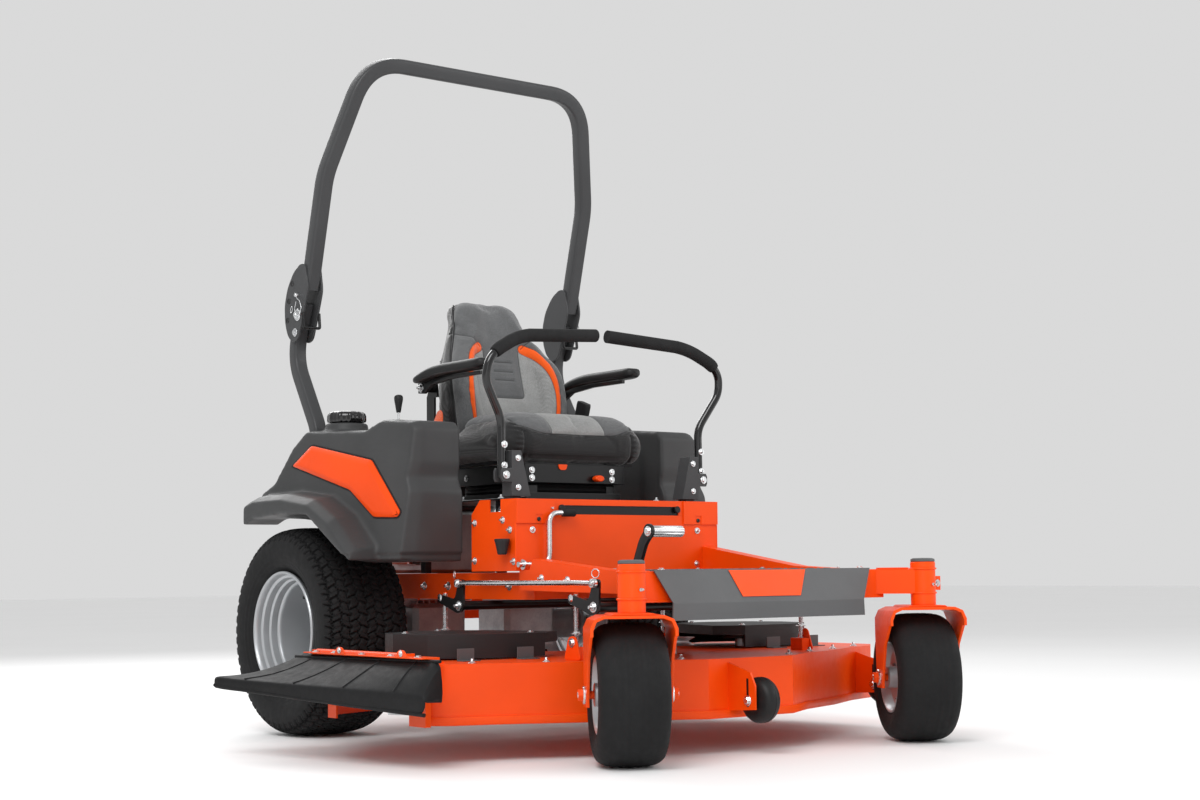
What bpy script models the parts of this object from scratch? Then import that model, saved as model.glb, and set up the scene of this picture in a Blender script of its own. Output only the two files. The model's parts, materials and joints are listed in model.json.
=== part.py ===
"""Zero turn mower, an assembly of separate named pieces.

Metres, +Z up, front of the machine toward -Y, operator's right toward -X.
"right" and "left" in the names are the operator's.
"""

import math

import bmesh
import bpy
from mathutils import Matrix, Vector

for old in list(bpy.data.objects):
    bpy.data.objects.remove(old, do_unlink=True)

# ---------------------------------------------------------------- dimensions
# shift that centres the box of the whole machine on the origin in x and y
SHIFT = Vector((0.1275, -0.0202, 0.0))
GAP = 0.0003

REAR_WHEEL = (0.507, 0.494, 0.288)  # half track, axle y, radius
REAR_TYRE_HALF = 0.130
REAR_RIM_R = 0.154
CASTER_PIVOT = (0.482, -0.876)
CASTER_R = 0.165
CASTER_TRAIL = 0.080
CASTER_TYRE_HALF = 0.0825
CASTER_TURN = math.radians(-31.5)

DECK_LOW, DECK_TOP, DECK_WALL = 0.088, 0.232, 0.005
SPINDLES = ((-0.490, -0.170), (0.0, -0.430), (0.490, -0.170))
BLADE_R = 0.260
CHUTE_HINGE = (-0.800, 0.250)
FRONT_SHAFT = (-0.620, 0.361)
REAR_SHAFT = (-0.040, 0.360)
SCALP_R, ROLLER_Z = 0.056, 0.133
SCALP = ((-0.040, -0.820), (0.645, -0.575), (-0.300, 0.145))

RISER_X, RISER_Y, RISER_Z = 0.344, -0.233, (0.4493, 0.637)
SHEET = 0.004
PAN_Z = (0.6385, 0.6435)
LEVER_PIVOT = (-0.155, 0.600)
LAP_PIVOT = (0.340, 0.700)
ARM_PIVOT = (0.355, 0.975)
ROPS_PIVOT = (0.640, 1.200)
ROPS_HALF = 0.022
ROPS_X = 0.4715

# ------------------------------------------------------------------ materials
COLOURS = {
    "orange_paint": ((0.90, 0.105, 0.010, 1), 0.32, 0.0),
    "charcoal_paint": ((0.060, 0.062, 0.064, 1), 0.45, 0.0),
    "grey_paint": ((0.120, 0.124, 0.128, 1), 0.50, 0.0),
    "charcoal_plastic": ((0.050, 0.051, 0.052, 1), 0.55, 0.0),
    "black_paint": ((0.012, 0.012, 0.012, 1), 0.40, 0.0),
    "black_plastic": ((0.016, 0.016, 0.017, 1), 0.55, 0.0),
    "rubber": ((0.020, 0.020, 0.021, 1), 0.75, 0.0),
    "seat_fabric": ((0.190, 0.195, 0.200, 1), 0.85, 0.0),
    "soft_grip": ((0.035, 0.035, 0.036, 1), 0.80, 0.0),
    "bright_steel": ((0.700, 0.710, 0.720, 1), 0.28, 1.0),
    "rim_silver": ((0.420, 0.435, 0.450, 1), 0.38, 0.6),
    "cast_metal": ((0.260, 0.265, 0.270, 1), 0.50, 0.8),
}


def material(name):
    found = bpy.data.materials.get(name)
    if found:
        return found
    colour, rough, metal = COLOURS[name]
    mat = bpy.data.materials.new(name)
    mat.use_nodes = True
    shader = mat.node_tree.nodes["Principled BSDF"]
    shader.inputs["Base Color"].default_value = colour
    shader.inputs["Roughness"].default_value = rough
    shader.inputs["Metallic"].default_value = metal
    mat.diffuse_color = colour
    return mat


mower = bpy.data.collections.new("zero_turn_mower")
cutters = bpy.data.collections.new("cutters")
for group in (mower, cutters):
    bpy.context.scene.collection.children.link(group)

root = bpy.data.objects.new("mower_root", None)
root.location = SHIFT
mower.objects.link(root)


# -------------------------------------------------------------------- meshes
def outward(bm):
    bmesh.ops.recalc_face_normals(bm, faces=bm.faces)
    if bm.calc_volume(signed=True) < 0:
        bmesh.ops.reverse_faces(bm, faces=bm.faces)


def prism(points, axis, low, high):
    """Closed polygon pushed along an axis; the points are the other two coordinates in x, y, z order."""
    bm = bmesh.new()
    rings = []
    for at in (low, high):
        ring = []
        for a, b in points:
            co = {"x": (at, a, b), "y": (a, at, b), "z": (a, b, at)}[axis]
            ring.append(bm.verts.new(co))
        rings.append(ring)
    n = len(points)
    for i in range(n):
        j = (i + 1) % n
        bm.faces.new((rings[0][i], rings[0][j], rings[1][j], rings[1][i]))
    bm.faces.new(rings[0])
    bm.faces.new(rings[1])
    outward(bm)
    return bm


def loft(rings):
    """Closed body through rings of points with the same count, capped at both ends."""
    bm = bmesh.new()
    made = [[bm.verts.new(p) for p in ring] for ring in rings]
    n = len(rings[0])
    for a, b in zip(made, made[1:]):
        for i in range(n):
            j = (i + 1) % n
            bm.faces.new((a[i], a[j], b[j], b[i]))
    bm.faces.new(made[0])
    bm.faces.new(made[-1])
    outward(bm)
    return bm


def block(x0, x1, y0, y1, z0, z1, bevel=0.0, segments=1):
    bm = prism([(x0, y0), (x1, y0), (x1, y1), (x0, y1)], "z", z0, z1)
    if bevel:
        bmesh.ops.bevel(
            bm,
            geom=bm.edges,
            offset=bevel,
            segments=segments,
            affect="EDGES",
            profile=0.5,
        )
    return bm


def disc(radius, axis, centre, low, high, steps=20):
    """Solid cylinder along an axis; centre is the other two coordinates."""
    ring = [
        (
            centre[0] + radius * math.cos(2 * math.pi * i / steps),
            centre[1] + radius * math.sin(2 * math.pi * i / steps),
        )
        for i in range(steps)
    ]
    return prism(ring, axis, low, high)


def lathe(profile, steps, turn=None):
    """Closed loop of (radius, along) turned about the x axis."""
    bm = bmesh.new()
    rings = []
    for i in range(steps):
        a = 2 * math.pi * i / steps
        rings.append([bm.verts.new((x, r * math.cos(a), r * math.sin(a))) for r, x in profile])
    n = len(profile)
    for i in range(steps):
        here, there = rings[i], rings[(i + 1) % steps]
        for k in range(n):
            m = (k + 1) % n
            bm.faces.new((here[k], here[m], there[m], there[k]))
    if turn:
        bmesh.ops.transform(bm, matrix=turn, verts=bm.verts)
    outward(bm)
    return bm


def rounded(points, radius, steps=4):
    """Path with every inner corner replaced by an arc."""
    pts = [Vector(p) for p in points]
    out = [pts[0]]
    for i in range(1, len(pts) - 1):
        before = (pts[i - 1] - pts[i]).normalized()
        after = (pts[i + 1] - pts[i]).normalized()
        angle = before.angle(after)
        r = radius[i - 1] if isinstance(radius, (list, tuple)) else radius
        reach = min(
            r / math.tan(angle / 2),
            0.49 * (pts[i - 1] - pts[i]).length,
            0.49 * (pts[i + 1] - pts[i]).length,
        )
        a, b = pts[i] + before * reach, pts[i] + after * reach
        for k in range(steps + 1):
            t = k / steps
            out.append(a.lerp(pts[i], t).lerp(pts[i].lerp(b, t), t))
    out.append(pts[-1])
    return out


def sweep(path, section):
    """Section pushed along a path without twisting, ends capped flat."""
    path = [Vector(p) for p in path]
    rings, side = [], None
    for i, p in enumerate(path):
        ahead = path[min(i + 1, len(path) - 1)] - path[max(i - 1, 0)]
        ahead.normalize()
        if side is None:
            side = Vector((1, 0, 0)) if abs(ahead.x) < 0.8 else Vector((0, 1, 0))
        side = (side - ahead * side.dot(ahead)).normalized()
        up = ahead.cross(side)
        rings.append([p + side * a + up * b for a, b in section])
    return loft(rings)


def circle(radius, steps=10):
    return [
        (
            radius * math.cos(2 * math.pi * (i + 0.5) / steps),
            radius * math.sin(2 * math.pi * (i + 0.5) / steps),
        )
        for i in range(steps)
    ]


def soft_square(half, corner):
    h, c = half, half - corner
    return [(h, -c), (h, c), (c, h), (-c, h), (-h, c), (-h, -c), (-c, -h), (c, -h)]


# ------------------------------------------------------------------- objects
def put(bm, name, group, origin=(0, 0, 0), spin=0.0):
    """Object from a mesh built in machine coordinates, with its origin moved to a point."""
    bmesh.ops.triangulate(bm, faces=[f for f in bm.faces if len(f.verts) > 4])
    data = bpy.data.meshes.new(name)
    bm.to_mesh(data)
    bm.free()
    data.transform(Matrix.Translation(-Vector(origin)))
    obj = bpy.data.objects.new(name, data)
    obj.location = origin
    obj.rotation_euler.z = spin
    obj.parent = root
    group.objects.link(obj)
    return obj


count = [0]


def piece(name, mat, body, add=(), cut=(), origin=(0, 0, 0), spin=0.0, bevel=0.0, smooth=35, local=False):
    """One named sub-part: a body, pieces welded on and hollows taken out.

    With local set the meshes are already drawn about the origin point.
    """
    shift = (0, 0, 0) if local else origin
    obj = put(body, name, mower, shift, spin)
    obj.location = origin
    obj.data.materials.append(material(mat))
    for kind, meshes in (("UNION", add), ("DIFFERENCE", cut)):
        for bm in meshes:
            count[0] += 1
            tool = put(bm, f"tool_{count[0]:03d}", cutters, shift, spin)
            tool.location = origin
            tool.hide_render = True
            tool.display_type = "WIRE"
            mod = obj.modifiers.new(f"{kind.lower()}_{count[0]:03d}", "BOOLEAN")
            mod.operation = kind
            mod.solver = "EXACT"
            mod.object = tool
    if bevel:
        mod = obj.modifiers.new("edges", "BEVEL")
        mod.width = bevel
        mod.segments = 2
        mod.limit_method = "ANGLE"
        mod.angle_limit = math.radians(40)
    if smooth:
        obj.data.shade_smooth()
        obj.data.set_sharp_from_angle(angle=math.radians(smooth))
    return obj


def both(points, sign):
    """The same points on the given side of the machine."""
    return [(sign * p[0], *p[1:]) for p in points]


def span(sign, a, b):
    return (min(sign * a, sign * b), max(sign * a, sign * b))


SIDES = (("right", -1), ("left", 1))

# -------------------------------------------------------------------- chassis
welded = []
for side, s in SIDES:
    x0, x1 = span(s, 0.255, 0.300)
    welded.append(block(x0, x1, -0.250, 0.860, 0.375, 0.445))
    top = (
        [(-0.2336, 0.452), (-0.278, 0.452), (-0.292, 0.480), (-0.600, 0.450)]
        if s < 0
        else [(-0.2336, 0.512), (-0.600, 0.456)]
    )
    x0, x1 = span(s, 0.290, 0.335)
    welded.append(
        prism(
            [(-0.600, 0.392), (-0.2336, 0.400)] + top + [(-0.790, 0.4455), (-0.790, 0.390)],
            "x", x0, x1,
        )
    )  # fmt: skip
    px, py = s * CASTER_PIVOT[0], CASTER_PIVOT[1]
    ends = [Vector((s * 0.402, -0.775)), Vector((px, py))]
    run = ends[1] - ends[0]
    across = Vector((-run.y, run.x)).normalized() * 0.026
    arm = [ends[0] + across, ends[1] + across, ends[1] - across, ends[0] - across]
    welded.append(prism([tuple(p) for p in arm], "z", 0.382, 0.4445))
    welded.append(disc(0.0315, "z", (px, py), 0.351, 0.463, 20))
welded.append(block(-0.256, 0.256, -0.245, -0.205, 0.376, 0.444))
welded.append(block(-0.256, 0.256, 0.230, 0.270, 0.376, 0.444))
welded.append(block(-0.256, 0.256, 0.400, 0.859, 0.436, 0.4445))
welded.append(block(-0.299, 0.299, 0.8505, 0.8585, 0.300, 0.4445))
frame_cuts = [disc(0.0190, "z", (s * CASTER_PIVOT[0], CASTER_PIVOT[1]), 0.34, 0.458, 16) for s in (-1, 1)]
frame_cuts.append(disc(0.085, "z", (0, 0.620), 0.42, 0.46, 24))
piece(
    "frame_weldment", "orange_paint",
    block(-0.415, 0.415, -0.800, -0.745, 0.375, 0.4452), welded, frame_cuts,
)  # fmt: skip

# foot platform: flat tread and the folded kick plate in front of it
half_top, half_fold = 0.359, 0.316
kick = loft(
    [
        [(-half_top, -0.8070, 0.4490), (half_top, -0.8070, 0.4490),
         (half_top, -0.8030, 0.4490), (-half_top, -0.8030, 0.4490)],
        [(-half_fold, -0.8270, 0.3700), (half_fold, -0.8270, 0.3700),
         (half_fold, -0.8230, 0.3710), (-half_fold, -0.8230, 0.3710)],
        [(-half_fold - 0.002, -0.8270, 0.3300), (half_fold + 0.002, -0.8270, 0.3300),
         (half_fold + 0.002, -0.8230, 0.3300), (-half_fold - 0.002, -0.8230, 0.3300)],
    ]
)  # fmt: skip
piece(
    "foot_platform", "grey_paint", kick,
    [block(-0.262, 0.262, -0.806, -0.2380, 0.4458, 0.4490),
     block(-half_top, half_top, -0.8065, -0.792, 0.4459, 0.4489)],
)  # fmt: skip

# orange infill panel lying on the kick plate
slope = (0.8270 - 0.8070) / (0.4490 - 0.3700)


def on_kick(x, z, off):
    return (x, -0.8070 - slope * (0.4490 - z) - off, z)


corners = [(-0.128, 0.4470), (0.128, 0.4470), (0.096, 0.3830), (-0.096, 0.3830)]
piece(
    "kick_plate_panel", "orange_paint",
    loft([[on_kick(x, z, off) for x, z in corners] for off in (0.0006, 0.0026)]),
)  # fmt: skip

# riser: folded sheet box under the front of the seat
z0, z1 = RISER_Z
riser = block(-RISER_X, RISER_X, RISER_Y, -0.028, z0, z1)
riser_cuts = [
    block(-RISER_X + SHEET, RISER_X - SHEET, RISER_Y + SHEET, 0.0, z0 - 0.01, z1 + 0.01),
    block(-0.205, 0.205, RISER_Y - 0.01, RISER_Y + 0.02, 0.597, 0.621),
    prism([(-0.070, 0.640), (-0.020, 0.592), (-0.020, 0.640)], "x", -0.4, 0.4),
    prism([(-0.163, 0.645), (-0.163, 0.604), (-0.112, 0.604), (-0.112, 0.645)], "x", -0.4, 0.4),
]
riser_adds = [
    block(-0.210, 0.210, -0.2325, -0.2095, 0.6335, 0.6368),
    block(-0.210, 0.210, -0.2125, -0.2095, 0.612, 0.6366),
]
for side, s in SIDES:
    x0, x1 = span(s, 0.221, 0.345)
    riser_adds.append(block(x0, x1, -0.2375, -0.2325, 0.573, 0.6365))
    riser_adds.append(block(*span(s, 0.270, 0.3405), -0.2300, -0.2270, z0, 0.6))
    riser_cuts.append(block(*span(s, 0.262, 0.285), -0.245, -0.2355, 0.572, 0.597))
piece("riser_box", "orange_paint", riser, riser_adds, riser_cuts)

# seat pan on four legs standing on the rails
legs = []
for s in (-1, 1):
    x0, x1 = span(s, 0.258, 0.280)
    legs.append(block(x0, x1, -0.070, -0.048, 0.4454, 0.640))
    legs.append(block(x0, x1, 0.300, 0.322, 0.4454, 0.640))
piece("seat_pan", "black_paint", block(-0.285, 0.285, -0.080, 0.335, *PAN_Z), legs)

# ------------------------------------------------------------------- fenders
# side outline drawn at the outer face, and the narrower one at the inner face
OUTER = [
    (0.000, 0.476), (0.000, 0.662), (0.020, 0.700), (0.012, 0.740), (0.014, 0.832), (0.034, 0.852),
    (0.170, 0.864), (0.240, 0.838), (0.390, 0.846), (0.520, 0.852), (0.575, 0.806), (0.640, 0.706),
    (0.700, 0.676), (0.705, 0.610), (0.500, 0.600), (0.300, 0.580), (0.205, 0.476),
]  # fmt: skip
for side, s in SIDES:

    def face(lean, tilt, x_at, grow=0.0):
        shrunk = [(y + (0.330 - y) * grow, z + (0.690 - z) * grow) for y, z in OUTER]
        return [(s * (x_at + lean * y - tilt * (z - 0.690)), y, z) for y, z in shrunk]

    inner = [(s * 0.350, min(y, 0.560), z) for y, z in OUTER]
    # the pod is narrower than the tank below it
    body = loft([inner, face(0.10, 0.10, 0.480), face(0.11, 0.16, 0.512, 0.03)])
    lip = []
    for yy, zt, zb in ((0.110, 0.510, 0.478), (0.215, 0.596, 0.540), (0.330, 0.650, 0.606),
                       (0.480, 0.670, 0.614), (0.640, 0.668, 0.604), (0.695, 0.655, 0.586)):  # fmt: skip
        lip.append([(s * 0.530, yy, zb), (s * 0.646, yy, zb), (s * 0.646, yy, zt - 0.018),
                    (s * 0.620, yy, zt), (s * 0.530, yy, zt + 0.012)])  # fmt: skip
    tank = block(*span(s, 0.346, 0.480), 0.100, 0.470, 0.610, 0.800)
    collar = lathe([(0.030, 0.0), (0.063, 0.0), (0.060, 0.034), (0.030, 0.034)], 20,
                   Matrix.Translation((s * 0.452, 0.440, 0.836)) @ Matrix.Rotation(-math.pi / 2, 4, "Y"))  # fmt: skip
    plug = disc(0.040, "z", (s * 0.452, 0.440), 0.820, 0.8625, 16)
    piece(
        f"fender_{side}", "charcoal_plastic", body,
        [loft(lip), tank, collar, plug],
        [
            disc(0.312, "x", (REAR_WHEEL[1], REAR_WHEEL[2]), *span(s, 0.330, 0.632), 32),
            block(*span(s, 0.300, 0.5005), 0.5300, 0.800, 0.500, 0.900),
            disc(0.020, "z", (s * 0.452, 0.440), 0.8400, 0.9, 12),
        ],
        smooth=32,
    )  # fmt: skip

    # trim insert standing just off the outer face
    trim = [(0.030, 0.607), (0.185, 0.752), (0.470, 0.806), (0.548, 0.752), (0.262, 0.674), (0.140, 0.597), (0.040, 0.594)]

    def trim_x(y, z):
        return 0.512 + 0.11 * y - 0.16 * (z - 0.690)

    piece(
        f"fender_trim_{side}", "orange_paint",
        loft([[(s * (trim_x(y, z) + off), y, z) for y, z in trim] for off in (0.0012, 0.0060)]),
    )  # fmt: skip

    ridges = 20
    grip = []
    for i in range(ridges):
        a = 2 * math.pi * i / ridges
        r = 0.056 if i % 2 else 0.051
        grip.append((r * math.cos(a), r * math.sin(a)))
    cap = loft([
        [(0.86 * x, 0.86 * y, 0.0) for x, y in grip],
        [(x, y, 0.006) for x, y in grip],
        [(x, y, 0.026) for x, y in grip],
        [(0.84 * x, 0.84 * y, 0.034) for x, y in grip],
    ])  # fmt: skip
    piece(
        f"fuel_cap_{side}", "black_plastic", cap,
        [disc(0.017, "z", (0, 0), -0.018, 0.004, 12)],
        origin=(s * 0.452, 0.440, 0.8708), local=True,
    )  # fmt: skip

# throttle lever on the right pod
knob = loft([
    [(x * k, y * k, z) for x, y in circle(0.0105, 10)]
    for z, k in ((0.030, 0.62), (0.040, 0.80), (0.066, 1.15), (0.074, 1.05), (0.079, 0.55))
])  # fmt: skip
piece(
    "throttle_lever", "black_plastic", knob,
    [disc(0.0032, "z", (0, 0), 0.004, 0.034, 8), disc(0.0070, "x", (0, 0), -0.006, 0.006, 12)],
    origin=(-0.420, 0.215, 0.8575), local=True,
)  # fmt: skip

# ---------------------------------------------------------------------- ROPS
section = soft_square(ROPS_HALF, 0.009)
for side, s in SIDES:
    path = rounded(
        [(s * 0.336, 0.572, 0.4520), (s * 0.336, 0.572, 0.650), (s * ROPS_X, 0.566, 0.800),
         (s * ROPS_X, 0.566, 0.862), (s * ROPS_X, 0.704, 1.080), (s * ROPS_X, 0.645, 1.236)],
        [0.06, 0.06, 0.10, 0.10], 3,
    )  # fmt: skip
    piece(
        f"rops_post_{side}", "charcoal_paint", sweep(path, soft_square(ROPS_HALF - 0.002, 0.008)),
        [block(*span(s, 0.285, 0.360), 0.535, 0.610, 0.4454, 0.4535)],
        [disc(0.0072, "x", ROPS_PIVOT, *span(s, 0.44, 0.51), 12)],
    )  # fmt: skip

left_leg = [(ROPS_X, 0.6185, 1.274), (ROPS_X, 0.532, 1.600), (0.385, 0.436, 1.9295)]
right_leg = [(-x, y, z) for x, y, z in left_leg]
hoop = rounded([*left_leg, *reversed(right_leg)], [0.25, 0.115, 0.115, 0.25], 3)
plates = []
for s in (-1, 1):
    outline = [
        (0.600, 1.345), (0.628, 1.350), (0.668, 1.330), (0.705, 1.285), (0.722, 1.235), (0.718, 1.180),
        (0.700, 1.140), (0.668, 1.120), (0.640, 1.130), (0.615, 1.190), (0.585, 1.270),
    ]  # fmt: skip
    for a in (0.4445, 0.4925):
        plates.append(prism(outline, "x", *span(s, a, a + 0.0060)))
    plates.append(disc(0.0065, "x", ROPS_PIVOT, *span(s, 0.4435, 0.4998), 12))
hoop_cuts = []
for s in (-1, 1):
    for y, z in ((0.676, 1.296), (0.695, 1.246), (0.702, 1.190)):
        hoop_cuts.append(disc(0.0085, "x", (y, z), *span(s, 0.435, 0.510), 8))
piece(
    "rops_hoop", "charcoal_paint", sweep(hoop, section), plates, hoop_cuts,
    origin=(0, *ROPS_PIVOT),
)  # fmt: skip

# ---------------------------------------------------------------------- seat
piece(
    "suspension_base", "black_paint", block(-0.165, 0.165, -0.028, 0.300, 0.6440, 0.6640),
    [block(-0.150, -0.120, -0.020, 0.290, 0.660, 0.684), block(0.120, 0.150, -0.020, 0.290, 0.660, 0.684)],
    [block(-0.110, 0.110, 0.020, 0.250, 0.650, 0.670)],
)  # fmt: skip
skirts = []
for s in (-1, 1):
    skirts.append(block(*span(s, 0.1665, 0.1725), -0.036, 0.306, 0.690, 0.736))
piece(
    "suspension_top", "black_paint", block(-0.1725, 0.1725, -0.036, 0.306, 0.7340, 0.7420),
    skirts + [block(-0.1720, 0.1720, -0.036, -0.030, 0.690, 0.740)],
)  # fmt: skip
shell = prism(
    [(0.360, 0.7426), (0.430, 0.7426), (0.432, 0.850), (0.450, 1.000), (0.466, 1.070),
     (0.458, 1.073), (0.442, 1.002), (0.424, 0.852), (0.422, 0.7520), (0.360, 0.7520)],
    "x", -0.120, 0.120,
)  # fmt: skip
shell_adds = [block(-0.215, 0.215, -0.020, 0.400, 0.7427, 0.7519)]
for s in (-1, 1):
    shell_adds.append(block(*span(s, 0.2052, 0.2115), 0.3560, 0.3960, 0.7428, 0.9550))
    shell_adds.append(
        prism([(0.340, 0.950), (0.396, 0.950), (0.380, 0.990), (0.345, 0.990)], "x", *span(s, 0.2052, 0.2115))
    )
shell_cuts = [disc(0.0052, "x", ARM_PIVOT, -0.3, 0.3, 10)]
piece("seat_frame", "black_paint", shell, shell_adds, shell_cuts)

# seat cushion: full depth below the backrest, crowned in front of it
cushion_rings = []
for z, inset, front, rear in (
    (0.7526, 0.022, -0.052, 0.341), (0.7600, 0.006, -0.060, 0.349), (0.8000, 0.000, -0.064, 0.352),
    (0.8270, 0.003, -0.060, 0.350), (0.8295, 0.008, -0.058, 0.220), (0.8580, 0.018, -0.044, 0.218),
    (0.8760, 0.040, -0.012, 0.210), (0.8820, 0.075, 0.030, 0.190),
):
    w, c = 0.255 - inset, 0.050
    cushion_rings.append([
        (-w + c, front, z), (w - c, front, z), (w - c * 0.29, front + c * 0.29, z), (w, front + c, z),
        (w, rear - c, z), (w - c * 0.29, rear - c * 0.29, z), (w - c, rear, z),
        (-w + c, rear, z), (-w + c * 0.29, rear - c * 0.29, z), (-w, rear - c, z),
        (-w, front + c, z), (-w + c * 0.29, front + c * 0.29, z),
    ])  # fmt: skip
piece("seat_cushion", "seat_fabric", loft(cushion_rings), smooth=50)

# backrest: wings reach forward of the middle and the head is narrow
back_rings = []
for z, w, mid, wing, rear in (
    (0.8310, 0.165, 0.300, 0.290, 0.400),
    (0.8500, 0.188, 0.300, 0.262, 0.436),
    (0.9300, 0.196, 0.322, 0.262, 0.448),
    (1.0300, 0.188, 0.350, 0.284, 0.464),
    (1.1000, 0.156, 0.368, 0.330, 0.484),
    (1.1700, 0.120, 0.392, 0.376, 0.512),
    (1.2300, 0.100, 0.418, 0.412, 0.530),
    (1.2520, 0.074, 0.440, 0.440, 0.520),
):
    back_rings.append([
        (-w, wing + 0.030, z), (-w + 0.020, wing, z), (-w * 0.62, mid - 0.012, z), (0, mid, z),
        (w * 0.62, mid - 0.012, z), (w - 0.020, wing, z), (w, wing + 0.030, z),
        (w * 0.96, rear - 0.028, z), (w * 0.62, rear, z), (-w * 0.62, rear, z), (-w * 0.96, rear - 0.028, z),
    ])  # fmt: skip
# stands clear of the frame plate behind it
lean = Vector((0, -0.0300, 0))
back = loft([[Vector(p) + lean for p in ring] for ring in back_rings])
piece("seat_backrest", "seat_fabric", back, smooth=50)

for side, s in SIDES:
    arm = prism(
        [(0.372, 0.960), (0.372, 0.990), (0.300, 0.996), (0.200, 1.000), (0.060, 1.000),
         (0.060, 0.990), (0.200, 0.989), (0.300, 0.980), (0.345, 0.958)],
        "x", *span(s, 0.2440, 0.2560),
    )  # fmt: skip
    hub = disc(0.0120, "x", ARM_PIVOT, *span(s, 0.2120, 0.2500), 14)
    pin = disc(0.0046, "x", ARM_PIVOT, *span(s, 0.2020, 0.2160), 10)
    piece(f"armrest_arm_{side}", "black_paint", arm, [hub, pin], origin=(s * 0.25, *ARM_PIVOT))
    rings = []
    for y, z, w, h in ((0.372, 0.9935, 0.008, 0.006), (0.360, 0.9920, 0.022, 0.018), (0.290, 0.9990, 0.026, 0.026),
                       (0.190, 1.0030, 0.027, 0.029), (0.060, 1.0030, 0.027, 0.029), (0.022, 1.0040, 0.022, 0.024),
                       (0.012, 1.0070, 0.008, 0.008)):  # fmt: skip
        x = s * 0.262
        rings.append([(x - w, y, z + 0.2 * h), (x - w, y, z + 0.7 * h), (x - 0.6 * w, y, z + h),
                      (x + 0.6 * w, y, z + h), (x + w, y, z + 0.7 * h), (x + w, y, z + 0.2 * h),
                      (x + 0.7 * w, y, z), (x - 0.7 * w, y, z)])  # fmt: skip
    piece(f"armrest_pad_{side}", "soft_grip", loft(rings), origin=(s * 0.25, *ARM_PIVOT), smooth=50)

# ------------------------------------------------------------ steering levers
for side, s in SIDES:
    tower = prism(both([(0.262, 0.645), (0.322, 0.645), (0.322, 0.765), (0.292, 0.765)], s), "y", -0.185, -0.140)
    stem = block(*span(s, 0.285, 0.315), -0.172, -0.138, 0.590, 0.650)
    hub = disc(0.0200, "x", LEVER_PIVOT, *span(s, 0.272, 0.336), 18)
    ears = [
        prism(both([(0.315, 0.682), (0.350, 0.682), (0.354, 0.690), (0.354, 0.710), (0.350, 0.718), (0.315, 0.718)], s),
              "y", a, b) for a, b in ((-0.1850, -0.1775), (-0.1525, -0.1450))
    ]  # fmt: skip
    pin = disc(0.0048, "y", (s * LAP_PIVOT[0], LAP_PIVOT[1]), -0.1840, -0.1460, 10)
    piece(
        f"steering_lever_{side}", "charcoal_paint", tower, [stem, hub, *ears, pin],
        origin=(0, *LEVER_PIVOT),
    )  # fmt: skip

    bar = rounded(
        both([(0.340, -0.165, 0.706), (0.340, -0.163, 0.845), (0.404, -0.182, 0.948),
              (0.398, -0.190, 0.9960), (0.372, -0.1920, 1.027), (0.288, -0.1790, 1.0710), (0.036, -0.158, 1.0882)], s),
        [0.06, 0.05, 0.04, 0.06, 0.05], 3,
    )  # fmt: skip
    lug = disc(0.0140, "y", (s * LAP_PIVOT[0], LAP_PIVOT[1]), -0.1770, -0.1530, 14)
    origin = (s * LAP_PIVOT[0], -0.165, LAP_PIVOT[1])
    piece(
        f"lap_bar_{side}", "black_paint", sweep(bar, circle(0.0112, 8)), [lug],
        [disc(0.0053, "y", (s * LAP_PIVOT[0], LAP_PIVOT[1]), -0.19, -0.14, 10)],
        origin=origin,
    )  # fmt: skip

# --------------------------------------------------------------------- engine
fins = [block(-0.150, 0.150, 0.700, 0.822, 0.5100 + i * 0.022, 0.5180 + i * 0.022) for i in range(3)]
piece(
    "engine_block", "cast_metal", block(-0.130, 0.130, 0.520, 0.790, 0.4452, 0.6300, 0.010, 1),
    [*fins, disc(0.026, "z", (0, 0.620), 0.350, 0.450, 16), disc(0.078, "z", (0, 0.620), 0.362, 0.400, 24)],
)  # fmt: skip
shroud = loft([
    [(0.190 * k * math.cos(a), 0.660 + 0.140 * k * math.sin(a), z)
     for a in [2 * math.pi * (i + 0.5) / 20 for i in range(20)]]
    for z, k in ((0.6306, 0.96), (0.640, 1.0), (0.715, 1.0), (0.740, 0.94), (0.746, 0.84))
])  # fmt: skip
piece("engine_shroud", "black_plastic", shroud, [disc(0.080, "z", (0, 0.660), 0.742, 0.762, 24)])
canister = disc(0.058, "x", (0.660, 0.824), -0.130, 0.130, 20)
piece("air_cleaner", "black_plastic", canister, [block(-0.030, 0.030, 0.635, 0.685, 0.7626, 0.790)])
piece(
    "muffler", "cast_metal", disc(0.050, "x", (0.850 + 0.066, 0.520), -0.170, 0.170, 20),
    [disc(0.014, "y", (0.120, 0.520), 0.8600, 0.9000, 10), disc(0.017, "y", (-0.120, 0.520), 0.900, 0.9810, 10)],
)  # fmt: skip
guard = rounded(
    [(-0.3150, 0.885, 0.410), (-0.3150, 1.0000, 0.410), (0.3150, 1.0000, 0.410), (0.3150, 0.885, 0.410)],
    0.05, 4,
)  # fmt: skip
piece(
    "rear_guard", "charcoal_paint", sweep(guard, circle(0.016, 10)),
    [block(-0.335, -0.295, 0.8610, 0.889, 0.3600, 0.4600), block(0.295, 0.335, 0.8610, 0.889, 0.3600, 0.4600),
     block(-0.300, 0.300, 0.992, 1.006, 0.360, 0.410)],
)  # fmt: skip

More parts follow.
